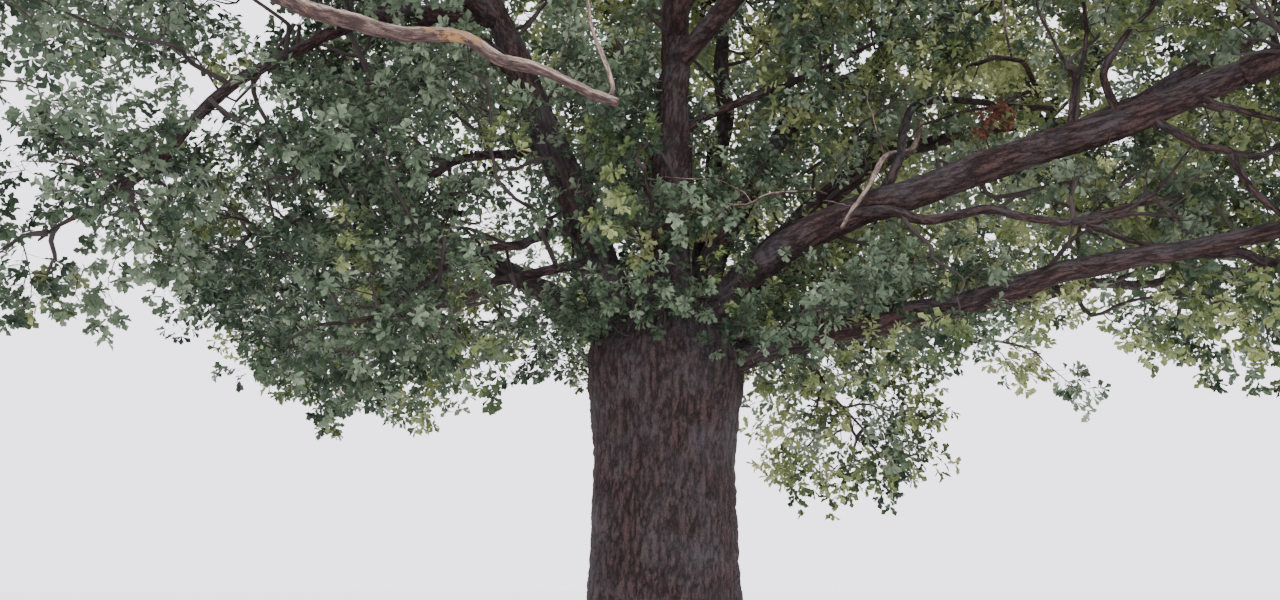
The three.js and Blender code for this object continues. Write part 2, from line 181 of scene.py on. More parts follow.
relief = bpy.data.node_groups.new("bark relief", "GeometryNodeTree")
relief.interface.new_socket("Geometry", in_out="INPUT", socket_type="NodeSocketGeometry")
relief.interface.new_socket("Depth", in_out="INPUT", socket_type="NodeSocketFloat")
relief.interface.new_socket("Geometry", in_out="OUTPUT", socket_type="NodeSocketGeometry")
DEPTH_SOCKET = relief.interface.items_tree["Depth"].identifier
add = node_maker(relief)
start = add("NodeGroupInput")
straight = add("GeometryNodeInputNamedAttribute", data_type="FLOAT_VECTOR", Name="straight")
warp = add("TexNoise", Vector=straight, Scale=1 / WARP_SIZE, Detail=2.0)
centred = add("VectorMath", operation="SUBTRACT", _0=warp.outputs["Color"], _1=(0.5, 0.5, 0.5))
pushed = add("VectorMath", operation="MULTIPLY_ADD", _0=centred, _1=(2 * WARP_REACH,) * 3, _2=straight)
cells = add("VectorMath", operation="MULTIPLY",
            _0=pushed, _1=(1 / RIDGE_WIDTH, 1 / RIDGE_WIDTH, 1 / RIDGE_LENGTH))
net = add("TexVoronoi", feature="DISTANCE_TO_EDGE", Vector=cells, Scale=1.0)
wide = add("MapRange", interpolation_type="SMOOTHSTEP", Value=net, From_Min=0.01, From_Max=0.34)
fine_net = add("TexVoronoi", feature="DISTANCE_TO_EDGE", Vector=cells, Scale=FINE_RIDGES)
narrow = add("MapRange", interpolation_type="SMOOTHSTEP", Value=fine_net, From_Max=0.3)
healed = add("TexNoise", Vector=straight, Scale=2.6, Detail=2.0)
fading = add("MapRange", Value=healed, From_Min=0.36, From_Max=0.6, To_Min=0.95, To_Max=0.1)
ridge = add("Mix", _0=fading, _2=narrow, _3=wide)
flakes = add("TexNoise", Vector=straight, Scale=14.0, Detail=3.0)
height = add("Math", operation="MULTIPLY_ADD", _0=flakes, _1=0.7, _2=ridge)
level = add("Math", operation="SUBTRACT", _0=height, _1=0.95)
raised_by = add("Math", operation="MULTIPLY", _0=level, _1=start.outputs["Depth"])
outward = add("VectorMath", operation="SCALE", _0=add("GeometryNodeInputNormal"), Scale=raised_by)
kept = add("GeometryNodeStoreNamedAttribute", data_type="FLOAT", domain="POINT",
           Geometry=start.outputs["Geometry"], Name="ridge", Value=height)
add("NodeGroupOutput", Geometry=add("GeometryNodeSetPosition", Geometry=kept, Offset=outward))


def mixed(add, share, low, high):
    """A colour between two others: plain ones, or the sockets of nodes."""
    low, high = [(*colour, 1) if isinstance(colour, tuple) else colour for colour in (low, high)]
    return add("Mix", data_type="RGBA", _0=share, _6=low, _7=high).outputs[2]


def bark_material(name, furrow, face, weathered_and_lit, patch, patch_share=0.02, patch_at=None, upper=0.16):
    """Bark: darker in its furrows, partly in its own colour and partly in painted shade; paler where it faces
    up, with weathering, and with painted light on the pale dead bark; with patches of growth.
    """
    material = new_material(name, Specular_IOR_Level=0.25)
    add = node_maker(material.node_tree)
    place = add("Attribute", attribute_name="straight").outputs["Vector"]
    high = add("Attribute", attribute_name="ridge").outputs["Fac"]
    fine_place = add("VectorMath", operation="MULTIPLY", _0=place, _1=SCALES_A_METRE)
    cracks = add("TexVoronoi", feature="DISTANCE_TO_EDGE", Vector=fine_place, Scale=1.0)
    scales = add("MapRange", Value=cracks, From_Max=0.22)
    grain = add("TexNoise", Vector=place, Scale=55.0, Detail=6.0, Roughness=0.7)
    broad = add("TexNoise", Vector=place, Scale=1.7, Detail=4.0)
    growth = add("TexNoise", Vector=place, Scale=5.0, Detail=8.0, Roughness=0.75)
    if patch_at is not None:
        distance = add("SeparateXYZ", Vector=place).outputs["Z"]
        off = add("Math", operation="SUBTRACT", _0=distance, _1=patch_at)
        away = add("Math", operation="ABSOLUTE", _0=off)
        close = add("MapRange", Value=away, From_Max=PATCH_REACH, To_Min=PATCH_GAIN, To_Max=0.0)
        growth = add("Math", operation="ADD", _0=growth, _1=close)
    # Painted shade, over the bark's own darker colour: the furrows and the cracks between scales are darkened
    depth = add("MapRange", Value=high, From_Min=0.25, From_Max=1.25)
    depth_and_scales = add("Math", operation="MULTIPLY_ADD", use_clamp=True, _0=scales, _1=0.35, _2=depth)
    shade = add("Math", operation="MULTIPLY", use_clamp=True, _0=depth_and_scales, _1=grain)
    shade_wide = add("MapRange", Value=shade, From_Max=0.6)
    facing = add("SeparateXYZ", Vector=add("NewGeometry").outputs["Normal"])
    # Where the bark faces up it turns to the weathered colour; on the pale dead bark this is painted light on
    # its upper side
    upness = add("Math", operation="MULTIPLY_ADD", _0=facing.outputs["Z"], _1=upper, _2=broad)
    worn_and_lit_share = add("MapRange", Value=upness, From_Min=0.42, From_Max=0.66)
    worn_and_lit = mixed(add, worn_and_lit_share, mixed(add, shade_wide, furrow, face), weathered_and_lit)
    patch_where = add("MapRange", Value=growth, From_Min=0.66 - patch_share, From_Max=0.74 - patch_share)
    bump_height = add("Math", operation="MULTIPLY_ADD", _0=scales, _1=0.6, _2=grain)
    add(material.node_tree.nodes["Principled BSDF"],
        Base_Color=mixed(add, patch_where, mixed(add, shade_wide, furrow, worn_and_lit), patch),
        Normal=add("Bump", Height=bump_height, Strength=0.8, Distance=0.012),
        Roughness=add("MapRange", Value=grain, To_Min=0.75))
    return material


# The trunk bark is the oak bark made darker all over: painted shade for the crown's shadow on the trunk
trunk_bark = bark_material("trunk bark", furrow=(0.011, 0.007, 0.007), face=(0.085, 0.05, 0.046),
                           weathered_and_lit=(0.076, 0.066, 0.067), patch=(0.06, 0.07, 0.045))
oak_bark = bark_material("oak bark", furrow=(0.014, 0.008, 0.008), face=(0.125, 0.073, 0.064),
                         weathered_and_lit=(0.1, 0.088, 0.09), patch=(0.08, 0.092, 0.06))


def extruded_tube(name, sides, rings):
    """A closed straight tube of radius 1: a filled circle, extruded upwards ring by ring."""
    bpy.ops.object.select_all(action="DESELECT")
    bpy.ops.mesh.primitive_circle_add(vertices=sides, radius=1, fill_type="NGON")
    tube = bpy.context.object
    tube.name = name
    bpy.ops.object.mode_set(mode="EDIT")
    bpy.ops.mesh.select_all(action="SELECT")
    for _ in range(rings):
        bpy.ops.mesh.extrude_region_move(TRANSFORM_OT_translate={"value": (0, 0, 1)})
    bpy.ops.mesh.select_all(action="SELECT")
    bpy.ops.mesh.normals_make_consistent(inside=False)
    bpy.ops.object.mode_set(mode="OBJECT")
    return tube


def smooth_line(points, count):
    """Count + 1 places on a smooth line through the points, evenly spaced between them."""
    ends = np.vstack([2 * points[0] - points[1], points, 2 * points[-1] - points[-2]])
    places = np.linspace(0, len(points) - 1, count + 1)
    i = np.minimum(places.astype(int), len(points) - 2)
    t = (places - i)[:, None]
    before, here, there, after = ends[i], ends[i + 1], ends[i + 2], ends[i + 3]
    return 0.5 * (2 * here + (there - before) * t + (2 * before - 5 * here + 4 * there - after) * t**2
                  + (3 * here - before - 3 * there + after) * t**3)


def frames(line):
    """Directions along and across a line at each of its places, turned as little as possible."""
    ahead = np.gradient(line, axis=0)
    ahead /= np.linalg.norm(ahead, axis=1)[:, None]
    side = np.cross((0.0, 1.0, 0.0), ahead[0])
    sides = []
    for direction_ahead in ahead:
        side = side - direction_ahead * (side @ direction_ahead)
        side = side / np.linalg.norm(side)
        sides.append(side)
    sides = np.array(sides)
    return ahead, sides, np.cross(ahead, sides)


def bend(tube, line, radius_at, pattern_radius, pattern_start):
    """Bends a straight tube along a line, with its own radius at each share and angle."""
    count = len(tube.data.vertices)
    flat = np.empty(3 * count)
    tube.data.vertices.foreach_get("co", flat)
    x, y, ring = flat.reshape(count, 3).T
    ring = np.rint(ring).astype(int)
    angle = np.arctan2(y, x)
    ahead, sides, across = frames(line)
    reach = (radius_at(ring / (len(line) - 1), angle) * np.hypot(x, y))[:, None]
    bent = line[ring] + reach * (np.cos(angle)[:, None] * sides[ring] + np.sin(angle)[:, None] * across[ring])
    travelled = np.concatenate([[0], np.cumsum(np.linalg.norm(np.diff(line, axis=0), axis=1))])
    unrolled = np.column_stack([pattern_radius * x, pattern_radius * y, travelled[ring] + pattern_start])
    attribute = tube.data.attributes.new("straight", "FLOAT_VECTOR", "POINT")
    attribute.data.foreach_set("vector", unrolled.ravel())
    tube.data.vertices.foreach_set("co", bent.ravel())
    tube.data.update()


def bark_covered(name, sides, line, radius_at, pattern_radius, pattern_start, depth, material, levels=2):
    """A limb along a line: a tube that is bent, made finer, and raised into bark."""
    tube = extruded_tube(name, sides, len(line) - 1)
    bend(tube, line, radius_at, pattern_radius, pattern_start)
    finer = tube.modifiers.new("finer", "SUBSURF")
    finer.levels = levels
    finer.render_levels = levels
    raised = tube.modifiers.new("bark relief", "NODES")
    raised.node_group = relief
    raised[DEPTH_SOCKET] = depth
    bpy.context.view_layer.objects.active = tube
    bpy.ops.object.modifier_apply(modifier=finer.name)
    bpy.ops.object.modifier_apply(modifier=raised.name)
    bpy.ops.object.select_all(action="DESELECT")
    tube.select_set(True)
    bpy.ops.object.shade_smooth()
    tube.data.materials.append(material)
    return tube


# The trunk is short and massive: a flare with buttresses at the ground, shallow flutes, and a
# swollen, domed head that the boughs leave. It stands on a flat cut and is fixed there.
TRUNK_HEIGHT = 5.1
TRUNK_WAIST = 0.86
TRUNK_LEAN = 0.09
FLARE = 0.52
FLARE_FADE = 0.62
BUTTRESSES = 5
BUTTRESS_DEPTH = 0.15
BUTTRESS_FADE = 1.3
FLUTES = 7
FLUTE_DEPTH = 0.03
HEAD_SWELL = 0.13
HEAD_START = 3.0
SHOULDER = 4.35
DOME = 0.8
TRUNK_SIDES = 60
TRUNK_RINGS = 54
TRUNK_BARK_DEPTH = 0.034


def trunk_axis(share):
    return np.array([TRUNK_LEAN * share**2, 0, TRUNK_HEIGHT * share])


def trunk_radius(share, angle):
    height = TRUNK_HEIGHT * share
    rising = np.clip((height - HEAD_START) / (SHOULDER - HEAD_START), 0, 1)
    swell = HEAD_SWELL * rising**2 * (3 - 2 * rising)
    above = np.clip((height - SHOULDER) / (TRUNK_HEIGHT - SHOULDER), 0, 1)
    waist = (TRUNK_WAIST + FLARE * np.exp(-height / FLARE_FADE) + swell) * np.sqrt(1 - DOME * above**2)
    buttress = BUTTRESS_DEPTH * np.exp(-height / BUTTRESS_FADE)
    buttress = buttress * np.cos(BUTTRESSES * angle + 0.7 * np.sin(2 * angle))
    return waist * (1 + buttress + FLUTE_DEPTH * np.cos(FLUTES * angle - 1))


trunk_line = np.array([trunk_axis(i / TRUNK_RINGS) for i in range(TRUNK_RINGS + 1)])
trunk = bark_covered("trunk_bark", TRUNK_SIDES, trunk_line, trunk_radius, TRUNK_WAIST, 0,
                     TRUNK_BARK_DEPTH, trunk_bark)
trunk_places = np.empty(3 * len(trunk.data.vertices))
trunk.data.vertices.foreach_get("co", trunk_places)
trunk_places[2::3] = np.maximum(trunk_places[2::3], 0)
trunk.data.vertices.foreach_set("co", trunk_places)
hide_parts("trunk")
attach(trunk, "root")

# Each bough is one crooked, tapering limb of wood under its bark. It grows out of the trunk or a
# bigger bough at a share of that one's length, swells at its collar, and ends in its mass of leaves.
LIMB_STEPS = 8
CROOK_WAVES = 1.7
CROOK_LIFT = 0.6
CROOK_FADE_IN = 3
TAPER = 0.85
COLLAR = 0.3
COLLAR_REACH = 1.4
GOLDEN = 0.618034

# Each leaves its parent at a share of its length and some way aside, in a heading that it turns
# from, and at a rise that settles into its last one. Crook is how far it strays, in degrees.
Limb = namedtuple("Limb", "name parent at aside heading turn rise last settle length thick thin crook")
LIMBS = [Limb(*row) for row in (
    ("leader", "trunk", 0.9, 0.06, 60, 30, 88, 78, 1.2, 8.3, 0.32, 0.11, 5),
    ("left_stem", "trunk", 0.83, 0.48, 186, -12, 77, 55, 1.2, 8.8, 0.29, 0.1, 6),
    ("right_bough", "trunk", 0.88, 0.35, -5, -34, 70, 9, 4, 7.3, 0.24, 0.15, 6),
    ("back_stem", "trunk", 0.9, 0.6, 58, 20, 62, 84, 1.2, 6.6, 0.22, 0.09, 6),
    ("upper_right", "trunk", 0.93, 0.42, 38, -18, 76, 32, 1.8, 9.3, 0.2, 0.085, 7),
    ("mid_right", "trunk", 0.92, 0.48, 24, -2, 56, 8, 0.8, 7.6, 0.19, 0.085, 6),
    ("low_right", "trunk", 0.83, 0.5, -7, -34, 16, 2, 1.2, 6.6, 0.18, 0.09, 7.5),
    ("left_bough", "left_stem", 0.5, 0, 184, -4, 34, 10, 1.2, 5.6, 0.15, 0.09, 7),
    ("back_bough", "trunk", 0.88, 0.4, 96, -14, 46, 16, 1.2, 7.5, 0.24, 0.095, 7),
    ("back_left_bough", "trunk", 0.84, 0.45, 134, 0, 42, 14, 1.2, 7.7, 0.22, 0.09, 7),
    ("back_right_bough", "trunk", 0.84, 0.45, 58, -14, 42, 22, 1.2, 7.8, 0.22, 0.09, 7),
    ("right_fork", "right_bough", 0.72, 0, -16, 34, 26, 30, 1.2, 3.1, 0.12, 0.07, 7),
    ("right_side", "right_bough", 0.3, 0, -36, 20, 4, -14, 1.2, 3, 0.095, 0.045, 26),
    ("left_droop", "left_stem", 0.6, 0, 214, -4, -8, -62, 1.2, 5, 0.12, 0.06, 5),
    ("left_upper_side", "left_stem", 0.36, 0, 172, -14, 2, -22, 1.2, 2.6, 0.085, 0.045, 14),
    ("left_middle_side", "left_stem", 0.22, 0, 146, -4, 10, -14, 1.2, 3.6, 0.09, 0.045, 12),
    ("left_lower_side", "left_stem", 0.16, 0, 196, 14, -6, -34, 1.2, 2.3, 0.08, 0.04, 10),
    ("front_left_bough", "left_stem", 0.6, 0, 236, -2, 4, -36, 1.2, 7.8, 0.15, 0.105, 6),
    ("bare_limb", "front_left_bough", 0.74, 0, -20, 23, -60, -19, 3, 5.98, 0.11, 0.038, 8),
    ("front_bough", "leader", 0.56, 0, -84, 8, 30, 2, 1.2, 6.5, 0.17, 0.08, 6),
    ("front_right_bough", "leader", 0.5, 0, -48, -2, 28, -4, 1.2, 7.2, 0.16, 0.08, 6),
    ("high_right", "leader", 0.62, 0, 8, -4, 58, 40, 1.2, 3.9, 0.15, 0.08, 7),
    ("high_front", "leader", 0.66, 0, -96, 6, 56, 34, 1.2, 3.5, 0.14, 0.08, 7),
    ("high_back_left", "left_stem", 0.52, 0, 112, 4, 50, 30, 1.2, 4.6, 0.15, 0.08, 7),
    ("high_front_left", "left_stem", 0.72, 0, 250, 8, 44, 14, 1.2, 3.6, 0.12, 0.075, 7),
    ("low_left", "left_bough", 0.85, 0, 214, 10, -20, -52, 1.2, 3.4, 0.1, 0.065, 9),
    ("outer_right", "low_right", 0.42, 0, 16, 2, 14, 10, 1.2, 4.2, 0.11, 0.06, 9),
    ("hanging_right", "back_right_bough", 0.2, 0, 34, 16, 2, -26, 1.2, 2.3, 0.1, 0.06, 10),
    ("inner_right", "leader", 0.36, 0, 4, -6, 40, 18, 1.2, 1.7, 0.09, 0.055, 8),
    ("front_spur", "leader", 0.12, 0, -100, 0, 20, -10, 1.2, 0.8, 0.06, 0.04, 8))]
order_of = {limb.name: order for order, limb in enumerate(LIMBS)}


def direction(heading, rise_angle):
    h, r = math.radians(heading), math.radians(rise_angle)
    return np.array([math.cos(r) * math.cos(h), math.cos(r) * math.sin(h), math.sin(r)])


def along(line, share):
    place = share * (len(line) - 1)
    i = min(int(place), len(line) - 2)
    return line[i] + (line[i + 1] - line[i]) * (place - i)


def walk(limb, order):
    """A limb's middle line, walked step by step from its parent's."""
    begin = trunk_axis(limb.at) if limb.parent == "trunk" else along(lines[limb.parent], limb.at)
    points = [begin + direction(limb.heading, 0) * limb.aside]
    for i in range(LIMB_STEPS):
        share = (i + 0.5) / LIMB_STEPS
        wave = 2 * math.pi * (CROOK_WAVES * share + GOLDEN * order)
        crook = limb.crook * min(1, CROOK_FADE_IN * share)
        heading = limb.heading + limb.turn * share + crook * math.sin(wave)
        rise_angle = limb.last + (limb.rise - limb.last) * (1 - share) ** limb.settle
        rise_angle += CROOK_LIFT * crook * math.cos(1.3 * wave)
        points.append(points[-1] + direction(heading, rise_angle) * limb.length / LIMB_STEPS)
    return np.array(points)


def limb_radius(length, thick, thin, share):
    collar = COLLAR * thick * np.exp(-share * length / (COLLAR_REACH * thick))
    return thin + (thick - thin) * (1 - share) ** TAPER + collar


def knotted(line, stray, seed):
    """A limb's line with small kinks of its own, none at its two ends."""
    chance = np.random.default_rng(seed)
    share = np.linspace(0, 1, len(line))[:, None]
    kinks = np.zeros_like(line)
    for wave in (2.3, 4.1, 7.7, 12.1):
        kinks += np.sin(2 * math.pi * (wave * share + chance.random(3))) * chance.normal(size=3) / wave**0.7
    return line + stray * kinks * np.sin(math.pi * share) ** 0.6


def lumpy(length, thick, thin, seed, knots):
    """A limb's radius, out of round, with swollen scars where branches were shed."""
    chance = np.random.default_rng(seed)
    places, turns, heights = chance.random(knots), 2 * math.pi * chance.random(knots), chance.random(knots)
    phase = 6 * chance.random(4)

    def radius_at(share, angle):
        lumps = 1 + 0.07 * np.sin(2 * angle + 5 * share + phase[0])
        lumps = lumps + 0.04 * np.sin(3 * angle - 9 * share + phase[1])
        lumps = lumps + 0.05 * np.sin(31 * share + phase[2]) * np.sin(17 * share + phase[3])
        for place, turn, height in zip(places, turns, heights):
            along_it = (share - place) * length / (1.5 * thick)
            round_it = 2 * np.sin((angle - turn) / 2)
            lumps = lumps + (0.12 + 0.3 * height) * np.exp(-along_it**2 - 2 * round_it**2)
        return limb_radius(length, thick, thin, share) * lumps
    return radius_at


# Boughs have coarse bark and many sides; branches are smoother and need fewer
BOUGH_THICKNESS = 0.175
BOUGH_SIDES = 14
BRANCH_SIDES = 7
RING_SPACING = 1.15
RINGS_OF_A_LIMB = (16, 44)
LIMB_KNOTS = 5
BARK_DEPTH_SHARE = 0.055
LEAST_BARK_DEPTH = 0.004
LIMB_STRAY = 0.16

# The bare limb's bark has weathered off; it humps up and drops at an old wound, where lichen grows
BARE_RINGS = 100
BARE_KNOTS = 9
BARE_DEPTH = 0.012
BARE_STRAY = 0.4
HUMP_AT = 0.79
HUMP_HEIGHT = 0.14
HUMP_RISE = 0.075
HUMP_FALL = 0.028
LICHEN_BEFORE_HUMP = 0.12
PATTERN_SHIFT = 10
bare_start = PATTERN_SHIFT * (order_of["bare_limb"] + 1)
bare_length = LIMBS[order_of["bare_limb"]].length
# The pale dead bark is partly painted: its dark face is partly painted shade on the limb's lower side, and
# its bright colour on the upper side is painted light. The lichen patch is its own colour.
pale_bark = bark_material("pale dead bark", furrow=(0.045, 0.028, 0.025), face=(0.19, 0.125, 0.105),
                          weathered_and_lit=(0.62, 0.48, 0.38), patch=(0.4, 0.22, 0.09), patch_share=0.04,
                          patch_at=bare_start + HUMP_AT * bare_length - LICHEN_BEFORE_HUMP, upper=0.46)


def humped(line):
    share = np.linspace(0, 1, len(line))
    width = np.where(share < HUMP_AT, HUMP_RISE, HUMP_FALL)
    return line + HUMP_HEIGHT * np.exp(-((share - HUMP_AT) / width) ** 2)[:, None] * (0, 0, 1)


lines = {}
for order, limb in enumerate(LIMBS):
    lines[limb.name] = walk(limb, order)
    sides = BOUGH_SIDES if limb.thick > BOUGH_THICKNESS else BRANCH_SIDES
    spacing = 2 * math.pi * 0.75 * limb.thick / sides * RING_SPACING
    is_pale = limb.name == "bare_limb"
    rings = BARE_RINGS if is_pale else int(np.clip(limb.length / spacing, *RINGS_OF_A_LIMB))
    stray = (BARE_STRAY if is_pale else LIMB_STRAY) * limb.thick
    middle_line = knotted(smooth_line(lines[limb.name], rings), stray, order)
    radius_at = lumpy(limb.length, limb.thick, limb.thin, order, BARE_KNOTS if is_pale else LIMB_KNOTS)
    depth = BARE_DEPTH if is_pale else max(LEAST_BARK_DEPTH, BARK_DEPTH_SHARE * limb.thick)
    tube = bark_covered(limb.name + "_bark", sides, humped(middle_line) if is_pale else middle_line,
                        radius_at, limb.thick, PATTERN_SHIFT * (order + 1), depth,
                        pale_bark if is_pale else oak_bark)
    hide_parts(limb.name)
    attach(tube, "root")

# Each mass of leaves keeps to its own space, a flattened ball that starts at its limb's tip.
# Heights are measured stretched, so that the border between two spaces is a plane.
FLATNESS = 0.78
CENTRE_OUT = 0.7
TIP_INNER = 0.72
TIP_TRIES = 14
TIPS_A_TWIG = 4
LEAST_TIPS = 12
STEM_THROUGH = 1.45
SIDE_SET_BACK = 0.55
TWIG_REACH = 0.6
SPACE_GAP = 0.06
LIMB_GAP = 0.04
TIPS_ON_THREE_METRES = 80
LEAF_SCALES = dict(crown=1.25, front=1.25, high_left=1.2, crown_back=1.1, back=1.1, fork=0.85,
                   dead_spray=0.66)

# Lean is the rise, in degrees, of the way from the limb's tip to the middle of its mass
Mass = namedtuple("Mass", "name on radius lean region")
MASSES = [Mass(*row) for row in (
    ("crown_top", "leader", 3.4, 84, "crown"),
    ("crown_top_left", "left_stem", 3.5, 48, "crown"),
    ("crown_top_back", "back_stem", 3.6, 46, "crown_back"),
    ("crown_top_right", "high_right", 3.4, 32, "crown_back"),
    ("crown_top_front", "high_front", 3.4, 34, "crown"),
    ("high_back_left_foliage", "high_back_left", 3.6, 20, "high_left"),
    ("high_front_left_foliage", "high_front_left", 3.4, 12, "high_left"),
    ("upper_right_foliage", "upper_right", 3.4, 26, "crown_back"),
    ("left_foliage", "left_bough", 3.3, 18, "high_left"),
    ("front_left_foliage", "front_left_bough", 3.2, -8, "front"),
    ("front_foliage", "front_bough", 3.3, 0, "front"),
    ("front_right_foliage", "front_right_bough", 3.3, -8, "front"),
    ("mid_right_foliage", "mid_right", 3.1, 8, "right"),
    ("right_foliage", "right_bough", 2.9, 10, "right"),
    ("right_fork_foliage", "right_fork", 2.9, 24, "right"),
    ("back_foliage", "back_bough", 3.8, 14, "back"),
    ("back_left_foliage", "back_left_bough", 3.8, 12, "back"),
    ("back_right_foliage", "back_right_bough", 3.8, 14, "back"),
    ("low_right_foliage", "low_right", 1.9, -6, "low_right"),
    ("outer_right_foliage", "outer_right", 2.5, 8, "low_right"),
    ("right_side_foliage", "right_side", 1.4, 6, "right"),
    ("left_upper_foliage", "left_upper_side", 2.1, -14, "low_left"),
    ("left_middle_foliage", "left_middle_side", 2.4, -10, "low_left"),
    ("left_lower_foliage", "left_lower_side", 1.5, -16, "low_left"),
    ("left_droop_foliage", "left_droop", 1.7, -50, "low_left"),
    ("low_left_foliage", "low_left", 2.8, -16, "low_left"),
    ("hanging_right_foliage", "hanging_right", 2, -24, "low_right"),
    ("inner_right_foliage", "inner_right", 1.9, 24, "low_right"),
    ("front_spur_foliage", "front_spur", 1.3, 30, "low_right"))]


def seeded(seed):
    """The same seed gives the same row of random numbers from 0 to 1."""
    state = seed
    while True:
        state = (state * 1664525 + 1013904223) & 0xFFFFFFFF
        yield state / 2**32


def last_way(name):
    way = lines[name][-1] - lines[name][-2]
    return way / np.linalg.norm(way)


def centre_of(mass):
    out = last_way(mass.on) * (1, 1, 0)
    lean = math.radians(mass.lean)
    return lines[mass.on][-1] + CENTRE_OUT * mass.radius * (
        math.cos(lean) * out / np.linalg.norm(out) + math.sin(lean) * np.array([0, 0, 1]))


STRETCH = np.array([1, 1, 1 / FLATNESS])
centres = np.array([centre_of(mass) for mass in MASSES])
radii = np.array([mass.radius for mass in MASSES])
stretched = centres * STRETCH
apart = np.linalg.norm(stretched[:, None] - stretched[None], axis=2)


def room_in(own, points):
    """How far points lie inside a mass's own space, next to every other space."""
    powers = ((points[:, None] * STRETCH - stretched[None]) ** 2).sum(axis=2) - radii**2
    others = np.arange(len(MASSES)) != own
    return ((powers[:, others] - powers[:, [own]]) / (2 * apart[own, others])).min(axis=1)


steps = [(order, limb, i) for order, limb in enumerate(LIMBS) for i in range(LIMB_STEPS)]
pieces_from = np.array([lines[limb.name][i] for order, limb, i in steps])
pieces_to = np.array([lines[limb.name][i + 1] for order, limb, i in steps])
pieces_thick = np.array([limb_radius(limb.length, limb.thick, limb.thin, i / LIMB_STEPS)
                         for order, limb, i in steps])
pieces_limb = np.array([order for order, limb, i in steps])


def limb_clearance(points, skipped=-1):
    """The clearance between points and the nearest limb, other than the skipped one."""
    used = pieces_limb != skipped
    begin, whole = pieces_from[used], (pieces_to - pieces_from)[used]
    share = ((points[:, None] - begin) * whole).sum(axis=2) / (whole**2).sum(axis=1)
    nearest = begin + whole * np.clip(share, 0, 1)[..., None]
    return (np.linalg.norm(points[:, None] - nearest, axis=2) - pieces_thick[used]).min(axis=1)


def scatter(own, random):
    """Tips of the twigs: spread evenly near the outside of the mass's own space."""
    mass = MASSES[own]
    share = (mass.radius / 3 / LEAF_SCALES.get(mass.region, 1)) ** 2
    wanted = max(LEAST_TIPS, round(TIPS_ON_THREE_METRES * share))
    tips = []
    while len(tips) < wanted:
        tries = []
        for _ in range(TIP_TRIES):
            height_share = 2 * next(random) - 1
            angle = 2 * math.pi * next(random)
            ring = math.sqrt(1 - height_share**2)
            reach = mass.radius * (TIP_INNER + (1 - TIP_INNER) * next(random))
            tries.append(centres[own] + reach * np.array(
                [ring * math.cos(angle), ring * math.sin(angle), height_share * FLATNESS]))
        tries = np.array(tries)
        gaps = np.full(TIP_TRIES, 2 * mass.radius)
        if tips:
            gaps = np.minimum(gaps, np.linalg.norm(tries[:, None] - np.array(tips), axis=2).min(axis=1))
        gaps[room_in(own, tries) < SPACE_GAP] = -1
        if gaps.max() > -1:
            tips.append(tries[gaps.argmax()])
    return tips


def groups(tips):
    """Halves a set of tips across its widest direction until each set fits one twig."""
    if len(tips) <= TIPS_A_TWIG:
        return [tips]
    widest = np.ptp(np.array(tips), axis=0).argmax()
    ordered = sorted(tips, key=lambda tip: tip[widest])
    half = math.ceil(len(ordered) / 2)
    return groups(ordered[:half]) + groups(ordered[half:])


# Twigs grow from one stem through the mass: side twigs leave it, finer ones leave those and
# end at the tips, and each fine twig carries short shoots that bear the leaves.
SIDE_TWIG_RADIUS = 0.012
PIPE_POWER = 0.6
FINE_TWIG_RADIUS = 0.0104
SHOOT_RADIUS = 0.0035
TWIG_CROOK = 0.09
SHOOTS_A_TWIG = 11
SHOOT_LENGTH = (0.2, 0.46)
SHOOT_SPREAD = math.radians(52)
TIP_PULLED_IN = 0.3
STEM_SIDES = 12
STEM_RINGS = 28
STEM_TIP = 0.014
STEM_KNOTS = 3

twig_bark = new_material("twig bark", Roughness=0.85)
add = node_maker(twig_bark.node_tree)
twig_grain = add("TexNoise", Scale=9.0, Detail=5.0)
twig_bumps = add("TexNoise", Scale=70.0, Detail=4.0)
add(twig_bark.node_tree.nodes["Principled BSDF"],
    Base_Color=mixed(add, twig_grain, (0.02, 0.014, 0.012), (0.088, 0.066, 0.057)),
    Normal=add("Bump", Height=twig_bumps, Strength=0.7, Distance=0.008))


def twig_arrays(line, thick, thin, sides):
    """Places and faces of a twig along a line, closed at its root and pointed at its tip."""
    ahead, across_one, across_two = frames(line)
    rings = len(line) - 1
    angles = 2 * math.pi * np.arange(sides) / sides
    thickness = np.linspace(thick, thin, rings + 1)[:rings, None, None]
    around = (np.cos(angles)[None, :, None] * across_one[:rings, None]
              + np.sin(angles)[None, :, None] * across_two[:rings, None])
    places = np.vstack([(line[:rings, None] + thickness * around).reshape(-1, 3), line[-1:]])
    faces = [tuple(range(sides))[::-1]]
    for ring in range(rings - 1):
        for k in range(sides):
            a, b = ring * sides + k, ring * sides + (k + 1) % sides
            faces.append((a, b, b + sides, a + sides))
    last = (rings - 1) * sides
    for k in range(sides):
        faces.append((last + k, last + (k + 1) % sides, len(places) - 1))
    return places, faces


def fine_wood(fine, thick=FINE_TWIG_RADIUS):
    return [twig_arrays(line, thick, SHOOT_RADIUS, 3) for line in fine]


def crooked(begin, end, steps, chance, crook):
    """A line from begin to end that strays a little to its sides on the way."""
    shares = np.linspace(0, 1, steps + 1)[:, None]
    stray = chance.normal(size=(steps + 1, 3)) * crook * np.linalg.norm(end - begin)
    return begin + (end - begin) * shares + stray * np.sin(math.pi * shares)


